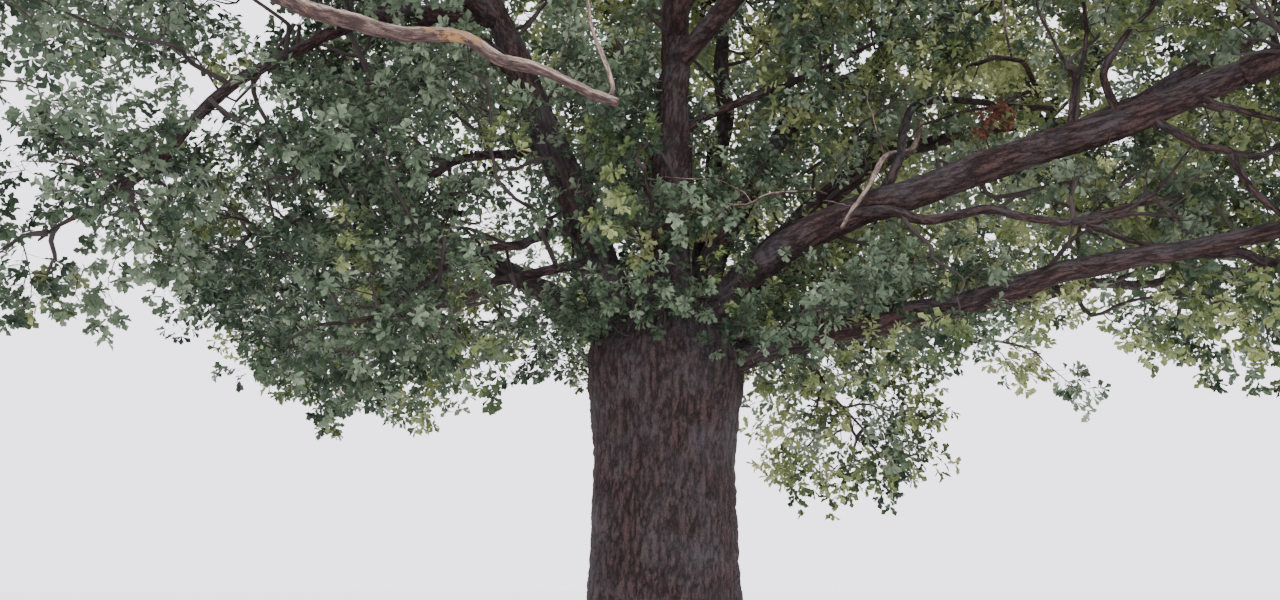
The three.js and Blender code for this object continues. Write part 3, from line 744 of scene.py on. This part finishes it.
def joined_mesh(name, places, faces_by_size, colours=None):
    """A mesh from arrays: places, and for each number of corners an array of faces."""
    mesh = bpy.data.meshes.new(name)
    corners = np.concatenate([faces.ravel() for faces in faces_by_size])
    sizes = np.concatenate([np.full(len(faces), faces.shape[1]) for faces in faces_by_size])
    mesh.vertices.add(len(places))
    mesh.vertices.foreach_set("co", places.astype(np.float32).ravel())
    mesh.loops.add(len(corners))
    mesh.loops.foreach_set("vertex_index", corners.astype(np.int32))
    mesh.polygons.add(len(sizes))
    mesh.polygons.foreach_set("loop_start", (np.cumsum(sizes) - sizes).astype(np.int32))
    if colours is not None:
        mesh.polygons.foreach_set("material_index", colours.astype(np.int32))
    mesh.update(calc_edges=True)
    mesh.validate()
    made = bpy.data.objects.new(name, mesh)
    bpy.context.collection.objects.link(made)
    return made


def unit(vectors):
    return vectors / np.linalg.norm(vectors, axis=-1, keepdims=True)


def grow(own):
    """One mass: its twigs as arrays, the fine ones' lines, and its stem."""
    mass = MASSES[own]
    limb_order = order_of[mass.on]
    limb = LIMBS[limb_order]
    random = seeded(own + 11)
    chance = np.random.default_rng(own + 11)
    tip, way = lines[mass.on][-1], last_way(mass.on)
    neck = tip + 3 * limb.thin * way
    end = neck + (centres[own] - neck) * STEM_THROUGH
    length = np.linalg.norm(end - neck)
    stem = (end - neck) / length
    stem_line = np.vstack([[tip - 0.5 * limb.thin * way], crooked(neck, end, 6, chance, 0.02)])
    stem_line = smooth_line(stem_line, 14)
    twigs = []
    fine = []
    for tips in groups(scatter(own, random)):
        centre = np.mean(tips, axis=0)
        ahead = (centre - neck) @ stem
        off = np.linalg.norm(neck + stem * ahead - centre)
        leaves_at = np.clip(ahead - SIDE_SET_BACK * off, 0.04 * length, 0.9 * length)
        begin = stem_line[np.linalg.norm(stem_line - (neck + stem * leaves_at), axis=1).argmin()]
        fork = begin + (centre - begin) * TWIG_REACH
        thick = SIDE_TWIG_RADIUS * len(tips) ** PIPE_POWER * (1 + 0.25 * length)
        watched = begin + (fork - begin) * np.linspace(0, 1, 7)[:, None]
        if limb_clearance(watched, limb_order).min() < thick + LIMB_GAP:
            continue
        if room_in(own, fork[None])[0] < SPACE_GAP:
            continue
        side_line = smooth_line(crooked(begin, fork, 4, chance, TWIG_CROOK / 2), 7)
        twigs.append(twig_arrays(side_line, thick, SIDE_TWIG_RADIUS, 6))
        for k, tip in enumerate(tips):
            base = along(side_line, 0.35 + 0.6 * (k + 1) / len(tips))
            pulled = tip - unit(tip - base) * TIP_PULLED_IN
            fine.append(smooth_line(crooked(base, pulled, 3, chance, TWIG_CROOK), 5))
    radius_at = lumpy(length, limb.thin, STEM_TIP, own + 90, STEM_KNOTS)
    depth = max(LEAST_BARK_DEPTH, BARK_DEPTH_SHARE * limb.thin)
    tube = bark_covered(mass.name + "_stem", STEM_SIDES, smooth_line(stem_line[::2], STEM_RINGS),
                        radius_at, limb.thin, 5 * own, depth, oak_bark, levels=1)
    return twigs + fine_wood(fine), np.array(fine), tube


# Leaves are lobed blades, folded along the midrib, in rosettes round the ends of the shoots.
# They are up to twice life size, because a real crown has some 200,000 of them.
LEAVES_A_SHOOT = 6
LEAF_LENGTH = (0.141, 0.209)
LEAF_FOLD = 0.1
LEAF_DROOP = 0.14
LOW_LOBE = (0.3, 0.19)
SINUS = (0.46, 0.115)
HIGH_LOBE = (0.72, 0.28)
OUTER_LOBE = (0.45, 0.12)
# Each family has five levels of painted light and shade, from deep to lit. The warm family is partly painted
# sunlight and the cool one partly painted shade; both keep the leaves' own green.
LEAF_COLOURS = [
    ("cool deep leaf", (0.038, 0.062, 0.034)),
    ("cool shade leaf", (0.074, 0.112, 0.062)),
    ("cool green leaf", (0.122, 0.172, 0.1)),
    ("cool pale leaf", (0.215, 0.275, 0.175)),
    ("cool lit leaf", (0.27, 0.335, 0.225)),
    ("warm deep leaf", (0.05, 0.077, 0.03)),
    ("warm shade leaf", (0.102, 0.143, 0.052)),
    ("warm green leaf", (0.2, 0.25, 0.092)),
    ("warm pale leaf", (0.33, 0.38, 0.16)),
    ("warm lit leaf", (0.42, 0.47, 0.2)),
    ("dead brown leaf", (0.24, 0.105, 0.07)),
]
SHADES = 5
BROWN = len(LEAF_COLOURS) - 1
BROWN_SPRAYS = 0.002
leaf_materials = [new_material(name, Base_Color=(*colour, 1), Roughness=0.36, Specular_IOR_Level=0.2)
                  for name, colour in LEAF_COLOURS]


def leaf_outline(*edge):
    """A leaf's places and faces: its root, its tip and one edge, mirrored across the midrib."""
    edges = [(x, hand * y, LEAF_FOLD * y / HIGH_LOBE[1] - LEAF_DROOP * x * x)
             for hand in (1, -1) for x, y in edge]
    shape = np.array([(0, 0, 0), (1, 0, -LEAF_DROOP)] + edges)
    near, far = 2 + np.arange(len(edge)), 2 + len(edge) + np.arange(len(edge))
    return shape, np.array([(0, 1, *near[::-1]), (0, *far, 1)])


# High and outer leaves, only seen from afar, do without the bay between their lobes
lobed_leaf = leaf_outline(LOW_LOBE, SINUS, HIGH_LOBE)
outer_leaf = leaf_outline(OUTER_LOBE, HIGH_LOBE)
SIMPLE_LEAVES = (*LEAF_SCALES, "inner_left", "inner_right")

# Shoots end within a hand's breadth of the crown's own reach, and only leaves pass that
LEAF_CLEARANCE = 0.12
REACH_MARGIN = 0.15
reach_low = np.array(cad_box[0]) - REACH_MARGIN
reach_high = np.array(cad_box[1]) + REACH_MARGIN

# The photograph shows these stretches of wood free of leaves: a limb and its shares, or pixels and
# depths along a branch, and the width in pixels that is kept open in front of it.
OPEN_LIMBS = [("right_bough", 0.3, 1, 20), ("low_right", 0.62, 1, 13), ("left_stem", 0.52, 0.85, 15),
              ("leader", 0.36, 0.8, 17), ("bare_limb", 0.5, 1, 14), ("mid_right", 0.62, 0.8, 8)]
OPEN_STRETCHES = [
    (13, [(917, 108, 1.0), (914, 150, 0.3), (884, 157, -0.5), (871, 182, -0.9), (841, 229, -1.3)]),
    (11, [(1058, 108, 1.6), (990, 103, 0.6), (945, 103, 0.4), (914, 112, 0.2), (903, 140, 0.0)]),
    (11, [(1034, 90, 1.2), (1024, 64, 0.8), (1008, 58, 0.7), (985, 61, 0.6), (962, 68, 0.7)]),
    (8, [(1004, 55, 0.6), (1003, 0, 0.6)]),
    (13, [(984, 134, 0.2), (996, 112, 0.2), (1008, 120, 0.2)]),
    (8, [(345, 28, -2.0), (240, 95, -3.0), (130, 185, -3.5)]),
    (8, [(1165, 127, -2.1), (1200, 143, -2.4), (1238, 155, -2.4), (1262, 155, -2.4), (1292, 139, -2.3)]),
    (8, [(1240, 172, -2.4), (1267, 203, -2.5), (1292, 223, -2.5)]),
    (7, [(1212, 103, -2.4), (1262, 117, -2.5), (1292, 121, -2.5)]),
    (9, [(1190, 249, -2.1), (1245, 255, -2.2), (1292, 268, -2.2)]),
    (7, [(798, 192, -0.6), (770, 194, -1.1), (745, 205, -1.2), (717, 214, -1.2), (706, 245, -1.1)]),
    (6, [(745, 196, -1.2), (716, 180, -1.3), (668, 177, -1.3)]),
]
for name, first, last, width in OPEN_LIMBS:
    stretch = np.array([along(lines[name], share) for share in np.linspace(first, last, 6)])
    across, down, ahead = pixels_of(stretch)
    OPEN_STRETCHES.append((width, list(zip(across, down, stretch[:, 1]))))

# Nothing hangs close before the lens in this part of the frame
NEAR_LENS = 11.0
NEAR_LENS_ACROSS = (930, 1.02 * PHOTO_WIDTH)
NEAR_LENS_DOWN = (-40, 270)


def kept_open(places):
    """Whether places lie in front of a stretch of wood that the photograph shows bare."""
    across, down, ahead = pixels_of(places)
    hidden = (ahead < NEAR_LENS) & (across > NEAR_LENS_ACROSS[0]) & (across < NEAR_LENS_ACROSS[1])
    hidden &= (down > NEAR_LENS_DOWN[0]) & (down < NEAR_LENS_DOWN[1])
    for width, stretch in OPEN_STRETCHES:
        for (u0, v0, y0), (u1, v1, y1) in zip(stretch, stretch[1:]):
            share = ((across - u0) * (u1 - u0) + (down - v0) * (v1 - v0)) / ((u1 - u0)**2 + (v1 - v0)**2)
            share = np.clip(share, 0, 1)
            off = np.hypot(across - u0 - share * (u1 - u0), down - v0 - share * (v1 - v0))
            hidden |= (off < width) & (places[:, 1] < y0 + share * (y1 - y0))
    return hidden


def inside_reach(places):
    return (places > reach_low).all(axis=1) & (places < reach_high).all(axis=1)


def between(limits, share):
    return limits[0] + (limits[1] - limits[0]) * share


def shoots_on(fine, own, chance, shorter):
    """Shoots along each fine twig, turned by the golden angle and lifted towards the light."""
    shares = 0.18 + 0.82 * (np.arange(SHOOTS_A_TWIG) + 1) / SHOOTS_A_TWIG
    place = shares * (fine.shape[1] - 1)
    i = np.minimum(place.astype(int), fine.shape[1] - 2)
    part = (place - i)[None, :, None]
    roots = fine[:, i] * (1 - part) + fine[:, i + 1] * part
    ahead = unit(fine[:, i + 1] - fine[:, i])
    side = unit(np.cross(ahead, (0.13, 0.21, 1.0)))
    other = np.cross(ahead, side)
    turn = 2 * math.pi * (GOLDEN * np.arange(SHOOTS_A_TWIG)[None] + chance.random((len(fine), 1)))
    turn = (turn + chance.normal(size=turn.shape) * 0.3)[..., None]
    spread = SHOOT_SPREAD * (1 - 0.75 * (shares[None, :, None] ** 6))
    ways = np.cos(spread) * ahead + np.sin(spread) * (np.cos(turn) * side + np.sin(turn) * other)
    ends = roots + unit(ways + (0, 0, 0.16)) * between(SHOOT_LENGTH, chance.random(turn.shape)) * shorter
    spray = np.repeat(np.arange(len(fine))[:, None], SHOOTS_A_TWIG, axis=1)
    roots, ends, spray = roots.reshape(-1, 3), ends.reshape(-1, 3), spray.ravel()
    left = (limb_clearance(ends) > LEAF_CLEARANCE) & inside_reach(ends)
    if shorter == 1:
        left &= ~kept_open(ends)
    if own is not None:
        left &= room_in(own, ends) > 0
    return roots[left], ends[left], spray[left]


def shoot_arrays(roots, ends):
    """Three-sided pointed shoots, all at once."""
    ways = unit(ends - roots)
    side = unit(np.cross(ways, (0.31, 0.17, 1.0)))
    other = np.cross(ways, side)
    corners = [roots + SHOOT_RADIUS * (math.cos(a) * side + math.sin(a) * other)
               for a in 2 * math.pi * np.arange(3) / 3]
    places = np.stack([*corners, ends], axis=1).reshape(-1, 3)
    faces = np.array([(0, 2, 1), (0, 1, 3), (1, 2, 3), (2, 0, 3)])
    return places, (faces[None] + 4 * np.arange(len(roots))[:, None, None]).reshape(-1, 3)


# Leaves that the photograph shows from close by are near life size, and more to a shoot
FULL_SIZE_AT = 17
NEAR_LEAF_SCALE = 0.7
NEAR_LEAF_POWER = 1.7


def leaf_scales(places):
    across, down, ahead = pixels_of(places)
    in_frame = (abs(across / PHOTO_WIDTH - 0.5) < 0.54) & (abs(down / PHOTO_HEIGHT - 0.5) < 0.58)
    return np.where(in_frame, np.clip(ahead / FULL_SIZE_AT, NEAR_LEAF_SCALE, 1), 1)


def leaves_on(roots, ends, scale, leaf_shape, chance):
    """Places of all the leaves on the shoots, and the number of each leaf's shoot."""
    scales = scale * leaf_scales(ends)
    counts = np.rint(LEAVES_A_SHOOT / np.minimum(scales, 1) ** NEAR_LEAF_POWER).astype(int)
    shoot = np.repeat(np.arange(len(roots)), counts)
    number = np.arange(len(shoot)) - np.repeat(np.cumsum(counts) - counts, counts)
    axis = unit(ends - roots)[shoot]
    share = np.where(number % 3 == 0, 0.4 + 0.05 * number, 0.95 - 0.02 * number)
    base = roots[shoot] + (ends - roots)[shoot] * share[:, None]
    side = unit(np.cross(axis, (0.31, 0.17, 1.0)))
    other = np.cross(axis, side)
    turn = 2 * math.pi * (GOLDEN * number + chance.random(len(roots))[shoot])
    tilt = np.radians(58) + chance.normal(size=len(shoot)) * 0.28
    rib = (np.cos(tilt)[:, None] * axis
           + np.sin(tilt)[:, None] * (np.cos(turn)[:, None] * side + np.sin(turn)[:, None] * other))
    rib = unit(rib + (0, 0, -0.12) + chance.normal(size=rib.shape) * 0.12)
    up = np.array([0, 0, 1.0]) + 0.9 * axis + chance.normal(size=rib.shape) * 0.45
    face = unit(up - rib * (up * rib).sum(axis=1, keepdims=True))
    size = scales[shoot] * between(LEAF_LENGTH, chance.random(len(shoot)))
    bases = np.stack([rib, np.cross(face, rib), face], axis=1) * size[:, None, None]
    return base[:, None] + np.einsum("vk,nkc->nvc", leaf_shape, bases), shoot


# The crown lets light in from behind its right side, and leaves there are given painted light
CROWN_MIDDLE = np.array([-0.2, 0.8, 8.5])
CROWN_REACH = np.array([11.5, 11.5, 8.5])
SUNNY_WAY = np.array([0.45, 0.89, 0])
UNLIT_AT_MOST = 0.95
LIT_GAIN = 4.6
LIT_REACH = 0.88
WARM_FROM = 0.2


def deal_colours(sprays, spray, own, chance):
    """A colour for each shoot, with painted light and shade: darker towards the outside, partly as sun leaves
    are, and paler inside as painted light; painted sunlight, lit and warm, on the sunny far side; each with
    random tone.
    """
    out_share = np.linalg.norm((sprays - CROWN_MIDDLE) / CROWN_REACH, axis=1)
    far_share = (sprays - CROWN_MIDDLE) @ SUNNY_WAY / CROWN_REACH[1]
    facing = np.zeros(len(sprays))
    if own is not None:
        outwards = unit(centres[own] - CROWN_MIDDLE + (0, 0, 3))
        facing = (sprays - centres[own]) @ outwards / radii[own]
    # Painted light and shade, partly real: sun leaves on the outside are darker, and the shaded inside is
    # painted paler
    light = 0.73 - 0.3 * out_share - 0.4 * np.clip(facing, -0.2, 1) + chance.normal(size=len(sprays)) * 0.16
    # Painted light: the sun shining through the leaves on the far side
    lit = LIT_GAIN * np.maximum(far_share, 0) * np.maximum(LIT_REACH - out_share, 0) * (facing < 0.2)
    # Painted sunlight: warm on the sunny far side and the outer faces, cool in the shade, with random tone
    warmth = far_share + 0.7 * np.maximum(facing, 0) + chance.normal(size=len(sprays)) * 0.36
    light = np.minimum(light[spray] + chance.normal(size=len(spray)) * 0.27, UNLIT_AT_MOST) + lit[spray]
    shade = np.clip((light * (SHADES - 1)).astype(int), 0, SHADES - 1)
    colour = shade + SHADES * (warmth > WARM_FROM)[spray]
    brown = chance.random(len(sprays)) < BROWN_SPRAYS
    return np.where(brown[spray], BROWN, colour)


def leaf_and_twig_pieces(region, twigs, leafy, dead=False):
    """Two joined pieces: all the wood of some twigs, and all the leaves on their fine ones."""
    leaf_shape, leaf_faces = outer_leaf if region in SIMPLE_LEAVES else lobed_leaf
    twig_places, twig_faces, leaf_places, leaf_colours = [], {}, [], []
    placed = 0
    for places, faces in twigs:
        twig_places.append(places)
        for face in faces:
            twig_faces.setdefault(len(face), []).append(np.array(face) + placed)
        placed += len(places)
    for fine, own, chance in leafy:
        roots, ends, spray = shoots_on(fine, own, chance, 0.3 if dead else 1)
        shoot_places, shoot_faces = shoot_arrays(roots, ends)
        twig_places.append(shoot_places)
        twig_faces[3].extend(shoot_faces + placed)
        placed += len(shoot_places)
        places, shoot = leaves_on(roots, ends, LEAF_SCALES.get(region, 1), leaf_shape, chance)
        leaf_places.append(places)
        dealt = deal_colours(fine[:, -1], spray, own, chance)[shoot]
        leaf_colours.append(np.full_like(dealt, BROWN) if dead else dealt)
    twig_piece = joined_mesh("twigs_" + region, np.vstack(twig_places),
                             [np.array(faces) for faces in twig_faces.values()])
    twig_piece.data.materials.append(twig_bark)
    leaf_places = np.vstack(leaf_places)
    faces = leaf_faces[None] + len(leaf_shape) * np.arange(len(leaf_places))[:, None, None]
    leaf_piece = joined_mesh("leaves_" + region, leaf_places.reshape(-1, 3),
                             [faces.reshape(-1, leaf_faces.shape[1])],
                             np.repeat(np.concatenate(leaf_colours), len(leaf_faces)))
    for leaf_material in leaf_materials:
        leaf_piece.data.materials.append(leaf_material)
    for piece in (twig_piece, leaf_piece):
        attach(piece, "root")
    return twig_piece, leaf_piece


for region in dict.fromkeys(mass.region for mass in MASSES):
    owners = [order for order, mass in enumerate(MASSES) if mass.region == region]
    twigs, leafy, stems = [], [], []
    for own in owners:
        own_twigs, fine, stem = grow(own)
        twigs += own_twigs
        leafy.append((fine, own, np.random.default_rng(own + 300)))
        stems.append(stem)
    bpy.ops.object.select_all(action="DESELECT")
    for stem in stems:
        stem.select_set(True)
    bpy.context.view_layer.objects.active = stems[0]
    bpy.ops.object.join()
    stems[0].name = "stems_" + region
    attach(stems[0], "root")
    for piece in (stems[0], *leaf_and_twig_pieces(region, twigs, leafy)):
        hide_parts(*[MASSES[own].name for own in owners])

# Crooked side branches leave every bough inside the crown, and each carries fine leafy twigs
# on its outer part. They are twig wood, grown into the bough that carries them.
BRANCH_STEP = 1.0
BRANCHES_FROM = 0.3
LOW_BRANCHES_FROM = 0.12
BRANCHES_TO = 0.96
BRANCH_TRIES = 6
BRANCH_LENGTH = (1.3, 2.9)
BRANCH_RADIUS = (0.034, 0.011)
BRANCH_CROOK = 0.1
BRANCH_CLEARANCE = 0.25
BRANCHES_ABOVE = 4.2
TWIG_STEP = 0.34
TWIG_LENGTH = (0.5, 1.05)
UNBRANCHED = ("bare_limb", "front_spur", "inner_right")
CLOSE_BRANCHED = dict(
    leader=0.6, high_right=0.7, left_stem=0.55, left_bough=0.6, left_upper_side=0.5, left_middle_side=0.6,
    left_lower_side=0.5, left_droop=0.4, front_left_bough=0.9, high_back_left=0.65, back_stem=0.55,
    back_bough=0.55, back_left_bough=0.6, back_right_bough=0.7, hanging_right=0.35, upper_right=0.65,
    mid_right=0.55, low_right=0.5)
LOW_BRANCHED = ("leader", "left_stem", "left_bough", "left_upper_side", "left_middle_side",
                "left_lower_side", "left_droop", "back_stem", "back_bough", "back_right_bough",
                "hanging_right", "mid_right", "low_right")


def length_of(line):
    return np.linalg.norm(np.diff(line, axis=0), axis=1).sum()


def fine_twigs_on(line, first, step, chance):
    """Fine twigs along a branch, from a share of its length on, turned by the golden angle."""
    ahead, side, other = frames(line)
    count = max(2, round(length_of(line) * (1 - first) / step))
    twigs = []
    for k in range(count):
        i = round((first + (1 - first) * (k + 1) / count) * (len(line) - 1))
        turn = 2 * math.pi * (GOLDEN * k + 0.15 * chance.random())
        way = unit(0.8 * ahead[i] + math.cos(turn) * side[i] + math.sin(turn) * other[i] + (0, 0, 0.2))
        end = line[i] + between(TWIG_LENGTH, chance.random()) * way
        twigs.append(smooth_line(crooked(line[i], end, 3, chance, TWIG_CROOK), 5))
    return twigs


def branches_on(limb, order):
    """Crooked branches along a limb, up, out and to its sides, that stay clear of the others."""
    chance = np.random.default_rng(order + 700)
    line = smooth_line(lines[limb.name], 4 * LIMB_STEPS)
    ahead, side, other = frames(line)
    grown = []
    first = LOW_BRANCHES_FROM if limb.name in LOW_BRANCHED else BRANCHES_FROM
    count = int(limb.length * (1 - first) / CLOSE_BRANCHED.get(limb.name, BRANCH_STEP))
    for k in range(count):
        share = first + (BRANCHES_TO - first) * (k + 0.8 * chance.random()) / count
        i = round(share * 4 * LIMB_STEPS)
        reach = between(BRANCH_LENGTH, chance.random())
        for attempt in range(BRANCH_TRIES):
            turn = 2 * math.pi * (GOLDEN * (k + attempt * 3) + 0.1 * chance.random())
            way = unit(0.6 * ahead[i] + math.cos(turn) * side[i] + math.sin(turn) * other[i] + (0, 0, 0.3))
            branch = smooth_line(crooked(line[i], line[i] + reach * way, 5, chance, BRANCH_CROOK), 15)
            clear = limb_clearance(branch[5:], order).min() > BRANCH_CLEARANCE
            clear = clear and not kept_open(branch[3:]).any() and inside_reach(branch).all()
            if clear and branch[:, 2].min() > BRANCHES_ABOVE:
                grown.append(branch)
                break
    return grown


all_branches = [branch for order, limb in enumerate(LIMBS) if limb.name not in UNBRANCHED
                for branch in branches_on(limb, order)]
for half in ("left", "right"):
    branches = [branch for branch in all_branches if (branch[-1][0] < 0) == (half == "left")]
    chance = np.random.default_rng(900)
    fine = [twig for branch in branches for twig in fine_twigs_on(branch, 0.35, TWIG_STEP, chance)]
    twigs = [twig_arrays(branch, *BRANCH_RADIUS, 6) for branch in branches]
    leaf_and_twig_pieces("inner_" + half, twigs + fine_wood(fine), [(np.array(fine), None, chance)])

# Some crooked branches stand out in the photograph. Each starts inside the limb that carries it,
# and goes through places seen at a pixel and a depth. Dead ones have lost their bark and leaves.
ODD_SIDES = 6
ODD_STRAY = 0.35
ODD_SEEDS = 60
ODD_RING_SPACING = 1.6
ODD_RINGS = (12, 40)
ODD_TWIG_STEP = 0.3
Branch = namedtuple("Branch", "name on at thick thin dead through")
ODD_BRANCHES = [Branch(*row) for row in (
    ("hanging_dead_branch", "upper_right", 0.72, 0.07, 0.026, True,
     [(905, 88, 2.0), (919, 112, 1.3), (914, 150, 0.3), (884, 157, -0.5), (871, 182, -0.95),
      (856, 206, -1.15), (841, 229, -1.3)]),
    ("hanging_side_twig", "hanging_dead_branch", 0.86, 0.015, 0.006, True,
     [(847, 206, -1.15), (837, 203, -1.1), (822, 200, -1.1)]),
    ("fork_dead_twig", "mid_right", 0.42, 0.026, 0.009, True,
     [(812, 190, 0.3), (796, 192, -0.6), (770, 194, -1.1), (757, 200, -1.2), (745, 205, -1.2),
      (730, 206, -1.2), (717, 214, -1.2), (708, 230, -1.15), (706, 247, -1.1)]),
    ("fork_side_twig", "fork_dead_twig", 0.5, 0.013, 0.006, True,
     [(742, 192, -1.2), (716, 180, -1.3), (690, 179, -1.3), (664, 177, -1.3)]),
    ("dark_right_branch", "right_bough", 0.42, 0.085, 0.04, False,
     [(897, 165, -0.4), (904, 130, 0.0), (916, 106, 0.4), (945, 101, 0.8), (990, 102, 1.0),
      (1030, 108, 1.2), (1062, 109, 1.4)]),
    ("dead_side_shoot", "hanging_dead_branch", 0.57, 0.016, 0.005, True,
     [(877, 130, -0.6), (868, 102, -0.6), (872, 78, -0.5)]),
    ("upright_dead_twig", "bare_limb", 0.97, 0.026, 0.012, True,
     [(613, 92, -5.4), (604, 60, -5.3), (592, 25, -5.2), (587, 0, -5.15), (583, -26, -5.1)]),
    ("forward_dead_branch", "mid_right", 1.0, 0.045, 0.018, False,
     [(1042, 98, 1.9), (1026, 93, 1.2), (993, 107, 0.6), (960, 113, 0.4), (922, 125, 0.3)]),
    ("looped_branch", "mid_right", 0.98, 0.055, 0.03, False,
     [(1036, 100, 1.9), (1034, 84, 1.3), (1024, 64, 0.8), (1008, 58, 0.65), (985, 61, 0.6),
      (962, 68, 0.7)]),
    ("upright_loop_twig", "looped_branch", 0.62, 0.024, 0.012, True,
     [(1006, 32, 0.6), (1003, 0, 0.6), (1004, -30, 0.6)]),
    ("right_riser", "right_bough", 0.82, 0.06, 0.02, False,
     [(1104, 76, -1.9), (1122, 40, -2.0), (1150, 10, -2.1), (1168, -24, -2.1)]),
    ("right_inner_riser", "right_bough", 0.74, 0.045, 0.016, False,
     [(1074, 92, -1.6), (1086, 45, -1.7), (1084, 0, -1.8), (1090, -30, -1.8)]),
    ("right_fork_riser", "right_inner_riser", 0.3, 0.03, 0.012, False,
     [(1058, 50, -1.6), (1040, 14, -1.6), (1034, -16, -1.5)]),
    ("sinuous_branch", "right_bough", 0.86, 0.062, 0.036, False,
     [(1165, 127, -2.1), (1192, 142, -2.35), (1215, 147, -2.4), (1238, 155, -2.4), (1260, 155, -2.4),
      (1294, 138, -2.3)]),
    ("sinuous_fork", "sinuous_branch", 0.62, 0.046, 0.036, False,
     [(1240, 172, -2.45), (1252, 188, -2.5), (1267, 203, -2.5), (1294, 224, -2.5)]),
    ("right_under_branch", "right_bough", 0.93, 0.05, 0.028, False,
     [(1212, 103, -2.45), (1238, 109, -2.5), (1262, 117, -2.5), (1294, 121, -2.5)]),
    ("low_side_reach", "low_right", 0.86, 0.085, 0.055, False,
     [(1215, 251, -2.15), (1245, 255, -2.2), (1268, 262, -2.2), (1294, 269, -2.2)]),
    ("side_reach", "right_side", 0.97, 0.046, 0.018, False,
     [(1086, 223, -1.8), (1113, 217, -1.9), (1146, 214, -2.0), (1176, 217, -2.0)]),
    ("side_reach_fork", "side_reach", 0.5, 0.04, 0.014, False,
     [(1135, 206, -2.0), (1160, 187, -2.1), (1189, 150, -2.2)]),
    ("low_upper_reach", "side_reach", 0.22, 0.046, 0.03, False,
     [(1102, 230, -1.8), (1130, 240, -1.75), (1165, 246, -1.7), (1200, 242, -1.6)]))]

leafy_ends = []
for order, branch in enumerate(ODD_BRANCHES):
    begin = along(lines[branch.on], branch.at)
    line = np.array([begin] + [seen_at(*place) for place in branch.through])
    lines[branch.name] = line
    length = length_of(line)
    rings = int(np.clip(length / (ODD_RING_SPACING * branch.thick), *ODD_RINGS))
    seed = ODD_SEEDS + order
    middle_line = knotted(smooth_line(line, rings), ODD_STRAY * branch.thick, seed)
    tube = bark_covered(branch.name, ODD_SIDES, middle_line,
                        lumpy(length, branch.thick, branch.thin, seed, LIMB_KNOTS),
                        branch.thick, 3 * order, LEAST_BARK_DEPTH, pale_bark if branch.dead else oak_bark)
    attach(tube, "root")
    if not branch.dead:
        leafy_ends.append(smooth_line(line, 15))

chance = np.random.default_rng(505)
fine = [twig for line in leafy_ends for twig in fine_twigs_on(line, 0.45, ODD_TWIG_STEP, chance)]
leaf_and_twig_pieces("odd_branches", fine_wood(fine), [(np.array(fine), None, chance)])

# Two sprays died on the branch that reaches forward at the right, and still hold their brown
# leaves. Their twigs hang from its wood.
DEAD_TWIG_RADIUS = 0.0065
BROWN_SPRAYS_HANG = [
    [(993, 107, 0.6), (991, 112, 0.45), (987, 121, 0.35), (984, 132, 0.3)],
    [(993, 107, 0.6), (998, 109, 0.45), (1002, 113, 0.4), (1006, 119, 0.35)],
]
chance = np.random.default_rng(41)
fine = np.array([smooth_line(np.array([seen_at(*place) for place in hung]), 5) for hung in BROWN_SPRAYS_HANG])
leaf_and_twig_pieces("dead_spray", fine_wood(fine, DEAD_TWIG_RADIUS), [(fine, None, chance)], dead=True)

# Short leafy sprouts stand round the fork. They grow from the bark of the trunk's head and of the
# feet of the stems: a limb, the shares between which it sprouts, and the step between two sprouts.
SPROUTS = 46
SPROUT_LENGTH = (0.45, 1.0)
SPROUT_RADIUS = 0.011
SPROUTS_BETWEEN = (0.8, 0.93)
SPROUT_SUNK = 0.97
SPROUTING = [("leader", 0.05, 0.5, 0.28), ("left_stem", 0.08, 0.4, 0.28), ("right_bough", 0.06, 0.3, 0.28),
             ("back_stem", 0.1, 0.6, 0.28), ("upper_right", 0.1, 0.5, 0.28), ("mid_right", 0.1, 0.4, 0.28),
             ("low_right", 0.04, 0.6, 0.11)]
chance = np.random.default_rng(77)
sprouts = []
for k in range(SPROUTS):
    share = between(SPROUTS_BETWEEN, chance.random())
    turn = 2 * math.pi * (GOLDEN * k + 0.1 * chance.random())
    outwards = direction(math.degrees(turn), 0)
    begin = trunk_axis(share) + outwards * SPROUT_SUNK * trunk_radius(share, turn)
    reach = between(SPROUT_LENGTH, chance.random())
    end = begin + reach * unit(outwards + chance.normal(size=3) * 0.35 + (0, 0, 0.5))
    sprouts.append(smooth_line(crooked(begin, end, 3, chance, TWIG_CROOK), 5))
for name, first, last, step in SPROUTING:
    stretch = smooth_line(lines[name], 40)[round(40 * first):round(40 * last)]
    sprouts += fine_twigs_on(stretch, 0.0, step, chance)
leaf_and_twig_pieces("fork", fine_wood(sprouts, SPROUT_RADIUS), [(np.array(sprouts), None, chance)])
